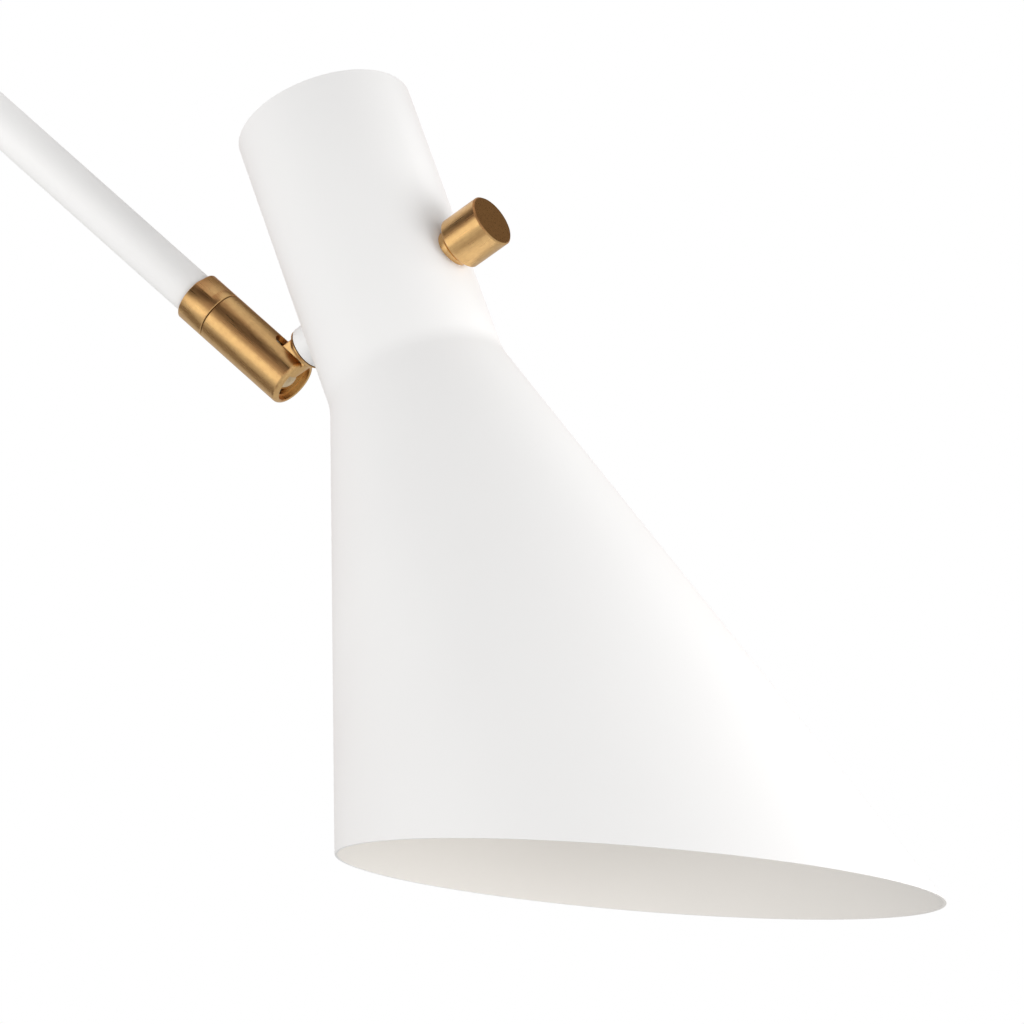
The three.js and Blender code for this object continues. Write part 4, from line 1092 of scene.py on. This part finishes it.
socket = pole_r + 0.12 * MM
coupler_r, coupler_low, coupler_high = reach("pole_coupler", POLE)
coupler_mid = (coupler_low + coupler_high) / 2
coupler = turned("pipe_coupler", [
    [socket, coupler_low], [coupler_r - EASE, coupler_low],
    *grooved(coupler_r, coupler_low + EASE, coupler_high - EASE, [coupler_mid]),
    [coupler_r - EASE, coupler_high], [socket, coupler_high], [socket, coupler_mid + WEB_HALF],
    [rod_hole, coupler_mid + WEB_HALF], [rod_hole, coupler_mid - WEB_HALF], [socket, coupler_mid - WEB_HALF],
], 128)
finish_piece(coupler, POLE, "stand", ["pole_coupler"], "brass", brass_on_pole)

top_low, top_high = reach("pole_top_socket", POLE)[1:]
ledge = head_low - 2.1 * MM
web = ledge - SPINDLE_WEB
spindle = turned("spindle_socket", [
    [socket, top_low], [head_r - EASE, top_low],
    *grooved(head_r, top_low + EASE, ledge - EASE, [ledge - 6 * MM]),
    [head_r - EASE, ledge], [SPINDLE_RADIUS, ledge], [SPINDLE_RADIUS, top_high], [SPINDLE_BORE, top_high],
    [SPINDLE_BORE, web], [socket, web],
], 128)
finish_piece(spindle, POLE, "stand", ["pole_top_socket"], "brass", brass_on_pole)

FOOT_EDGE = 0.4 * MM
FOOT_FLANGE = 3 * MM
foot_r, foot_low, foot_high = reach("pole_foot", POLE)
collar_neck = 13 * MM
cove = 6 * MM
pole_seat = foot_low + 5 * MM
foot_collar = turned("foot_collar", [
    [rod_hole, foot_low], [foot_r - FOOT_EDGE, foot_low], [foot_r, foot_low + FOOT_EDGE],
    [foot_r, foot_low + FOOT_FLANGE - FOOT_EDGE], [foot_r - FOOT_EDGE, foot_low + FOOT_FLANGE],
    *arc(collar_neck + cove, foot_low + FOOT_FLANGE + cove, cove, 270, 180, 8)[1:],
    [collar_neck, foot_high - EASE], [collar_neck - EASE, foot_high], [socket, foot_high], [socket, pole_seat],
    [rod_hole, pole_seat],
], 128)
finish_piece(foot_collar, POLE, "stand", ["pole_foot"], "brass", brass_on_pole)

# %% [markdown]
# ## The foot
# The foot is a cast-iron disc under a spun steel cover, so its edge is round and its hem is open. A rubber pad with
# a raised rim stands on the floor, and the lead goes in through a ribbed gland at the back. The lead itself is not
# part of the model.

# %% Foot cover, pad and gland
cover_r, cover_low, cover_high = reach("base_cover", POLE)
COVER_WALL = 1.5 * MM
COVER_ROUND = 5 * MM
GLAND_HOLE = 4.3 * MM
HEM = 0.15 * MM
PAD_EDGE = 0.8 * MM
PAD_TOP_EDGE = 0.4 * MM
PAD_RIM = 12 * MM  # the rim that stands on the floor
rounding = cover_high - COVER_ROUND
gland_height = reach("cord_gland", POLE)[1] + reach("cord_gland", POLE)[2]
INLET = place((0, 0, gland_height / 2), (-1, 0, 0), (0, 0, 1))
gland_r, gland_low, gland_high = reach("cord_gland", INLET)
cover = turned("foot_cover", [
    [cover_r - COVER_WALL, cover_low], [cover_r, cover_low],
    *arc(cover_r - COVER_ROUND, rounding, COVER_ROUND, 0, 90, 12), [rod_hole, cover_high],
    [rod_hole, cover_high - COVER_WALL],
    *arc(cover_r - COVER_ROUND, rounding, COVER_ROUND - COVER_WALL, 90, 0, 12),
], 256)
cut_away(cover, drill(INLET, GLAND_HOLE, cover_r - 2 * PAST, cover_r + 2 * PAST))
soften(cover, HEM, angle=50)
finish_piece(cover, POLE, "stand", ["base_cover"], "white_paint", white_coat)

pad_r, pad_low, pad_high = reach("base_pad", POLE)
pad = turned("foot_pad", [
    [0, pad_low + PAD_EDGE], [pad_r - PAD_RIM, pad_low + PAD_EDGE], [pad_r - PAD_RIM + PAD_EDGE, pad_low],
    [pad_r - PAD_EDGE, pad_low], [pad_r, pad_low + PAD_EDGE], [pad_r, pad_high - PAD_TOP_EDGE],
    [pad_r - PAD_TOP_EDGE, pad_high], [0, pad_high],
], 192)
finish_piece(pad, POLE, "stand", ["base_pad"], "rubber", foot_rubber)

GLAND_RIBS = 2
GLAND_BORE = 3 * MM
GLAND_THROAT = 4 * MM
RIB_TAPER = 0.5 * MM
RIB_DEPTH = 0.6 * MM
ribs_low = cover_r + 0.3 * MM
rib = (gland_high - ribs_low) / (2 * GLAND_RIBS)
gland_outline = [[GLAND_BORE, gland_low], [GLAND_THROAT, gland_low], [GLAND_THROAT, ribs_low], [gland_r, ribs_low]]
for i in range(GLAND_RIBS):
    rib_low = ribs_low + 2 * i * rib
    valley = gland_r - (1 + i) * RIB_DEPTH
    gland_outline += [[gland_r - i * RIB_TAPER, rib_low + rib], [valley, rib_low + 1.2 * rib],
                      [valley, rib_low + 2 * rib]]
gland = turned("inlet_gland", gland_outline + [[GLAND_BORE, gland_high]], 64)
finish_piece(gland, INLET, "stand", ["cord_gland"], "rubber", foot_rubber)

# %% [markdown]
# ## Inside the head
# Look up into the shade and you see the bulb, its cap, the black lampholder, and at the top a pierced disc that
# lets warm air out but hides the works. The bulb's glass is one smooth outline from tip to cap.

# %% Vent disc
vent_r, vent_low, vent_high = reach("vent_cap", SHADE)
VENTS = 6
VENT_RADIUS = 3 * MM
VENT_CIRCLE = 18 * MM
VENT_EDGE = 0.3 * MM
OFF_FACET = 0.01  # radians, so that no drill lines up with the disc's corners
vents = turned("vent_plate", eased_bar(vent_r, vent_low, vent_high, VENT_EDGE), 192)
for i in range(VENTS):
    angle = 2 * math.pi * (i + 0.5) / VENTS + OFF_FACET
    spot = Matrix.Translation((VENT_CIRCLE * math.cos(angle), VENT_CIRCLE * math.sin(angle), 0))
    cut_away(vents, drill(spot, VENT_RADIUS, vent_low - PAST, vent_high + PAST))
finish_piece(vents, SHADE, "head", ["vent_cap"], "white_shade", white_coat)

# %% Lampholder
holder_r, holder_low, holder_high = reach("lampholder_shell", SHADE)
cap_low, cap_high = reach("lampholder_cap", SHADE)[1:]
HOLDER_WALL = 1.4 * MM
HOLDER_EDGE = 0.4 * MM
DOME_EDGE = 0.3 * MM
DOME_DEPTH = 5 * MM  # how far the dome draws in
holder = turned("holder_shell", [
    [holder_r - HOLDER_WALL, holder_low], [holder_r - HOLDER_EDGE, holder_low], [holder_r, holder_low + HOLDER_EDGE],
    *grooved(holder_r, holder_low + 2 * MM, holder_high - 2 * MM,
             [holder_low + (6 + 3 * i) * MM for i in range(7)])[1:-1],
    [holder_r, holder_high - HOLDER_EDGE], [holder_r - HOLDER_EDGE, holder_high],
    [holder_r - HOLDER_WALL, holder_high],
], 128)
lay(holder, SHADE)
cut_away(holder, drill(SWITCH, shaft_hole, 7 * MM, holder_r + PAST, 32))
finish_piece(holder, Matrix.Identity(4), "head", ["lampholder_shell"], "phenolic", phenolic)

dome_low = cap_low + DOME_EDGE
dome_curve = [
    [holder_r - DOME_DEPTH * (1 - math.cos(math.radians(angle))),
     dome_low + (cap_high - dome_low) * math.sin(math.radians(angle))]
    for angle in range(15, 91, 15)
]
dome = turned("holder_cap", [
    [rod_hole, cap_low], [holder_r - DOME_EDGE, cap_low], [holder_r, dome_low], *dome_curve, [rod_hole, cap_high],
], 128)
finish_piece(dome, SHADE, "head", ["lampholder_cap"], "phenolic", phenolic)

# %% [markdown]
# A bulb's screw cap is rolled, not cut: its thread is a soft wave. A turned outline cannot climb like a real
# helix, but seen in the shade's mouth it is the row of ridges that reads as a thread. The glass is a hollow shell
# whose shoulder runs into the cap without a corner.

# %% Bulb
thread_r, thread_low, thread_high = reach("bulb_cap", SHADE)
glass_r, glass_low, glass_high = reach("bulb_glass", SHADE)
PITCH = 3.6 * MM
WAVE_HALF_DEPTH = 0.55 * MM
WAVE_STEPS = 6
straight = thread_high - 6 * MM - thread_low
all_steps = WAVE_STEPS * round(straight / PITCH)
waves = [
    [thread_r - WAVE_HALF_DEPTH * (1 - math.cos(2 * math.pi * i / WAVE_STEPS)), thread_low + straight * i / all_steps]
    for i in range(all_steps + 1)
]
screw_cap = turned("threaded_bulb_cap", [
    [0, thread_low], *waves, [6 * MM, thread_high - 1.5 * MM], [4 * MM, thread_high], [0, thread_high]], 64)
finish_piece(screw_cap, SHADE, "head", ["bulb_cap"], "bulb_metal", bulb_metal)

GLASS_WALL = 0.9 * MM
GLOBE_STEPS = 28
SHOULDER_STEPS = 10
SHOULDER_ANGLE = 40  # degrees above the globe's middle, where the shoulder starts
SHOULDER_PULL = 0.42  # how far the curve's handles reach, as a share of its height
glass_centre = glass_low + glass_r


def shoulder(inset):
    """An S-curve from the globe up to the bulb's neck."""
    start_r, start_z = arc(0, glass_centre, glass_r - inset, -90, SHOULDER_ANGLE, 1)[1]
    end_r, end_z = thread_r - inset, glass_high
    points = []
    for i in range(1, SHOULDER_STEPS + 1):
        t = i / SHOULDER_STEPS
        lean_start = math.radians(SHOULDER_ANGLE + 90)
        reach_out = SHOULDER_PULL * (end_z - start_z)
        a = Vector((start_r, start_z))
        b = a + Vector((math.cos(lean_start), math.sin(lean_start))) * reach_out
        d = Vector((end_r, end_z))
        c = d - Vector((0, reach_out))
        p = a * (1 - t) ** 3 + b * 3 * t * (1 - t) ** 2 + c * 3 * t * t * (1 - t) + d * t ** 3
        points.append([p.x, p.y])
    return points


def glass_face(inset):
    """The glass from its tip to the bulb's neck: the outer face, or the one a wall's thickness inside it."""
    globe = arc(0, glass_centre, glass_r - inset, -90, SHOULDER_ANGLE, GLOBE_STEPS)
    return [[0, glass_low + inset], *globe[1:], *shoulder(inset)]


bulb = turned("glass_envelope", glass_face(0) + glass_face(GLASS_WALL)[::-1], 96)
finish_piece(bulb, SHADE, "head", ["bulb_glass"], "opal_glass", opal_glass)

# %% [markdown]
# The knob's set screw is the last loose piece that shows. Everything still unpainted is inside: nuts, nipples, the
# bracket, the seat and its spring. Their shape in the engineering model is right, so each only gets its finish.

# %% Set screw and the finishes of the hidden hardware
grub_screw("knob_grub_screw", set_at, set_r, shaft_hole, knob_r - SCREW_SUNK, "knob_set_screw", "switch_knob")

for finish, nodes in (
    (zinc_steel, ("base_washer", "base_nut", "tie_rod", "pole_plug", "spindle_nut", "pivot_bolt", "arm_plug",
                  "swivel_nipple", "nipple_nut", "seat_spring", "boss_backing", "lampholder_bracket", "boss_nut",
                  "lampholder_nipple", "nipple_lock_nut", "switch_shaft")),
    (cast_iron, ("base_weight",)),
    (natural_nylon, ("ball_seat",)),
    (phenolic, ("switch_core",)),
    (brass_in_holder, ("centre_contact", "screw_shell")),
):
    for node in nodes:
        mesh = frame["nodes"][node].data
        mesh.materials.clear()
        mesh.materials.append(finish)

# %% [markdown]
# The lamp must not have grown while it was dressed, so the last line prints its size.

# %% Size
low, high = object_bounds()
print("size in metres:", [round(x, 3) for x in high - low])
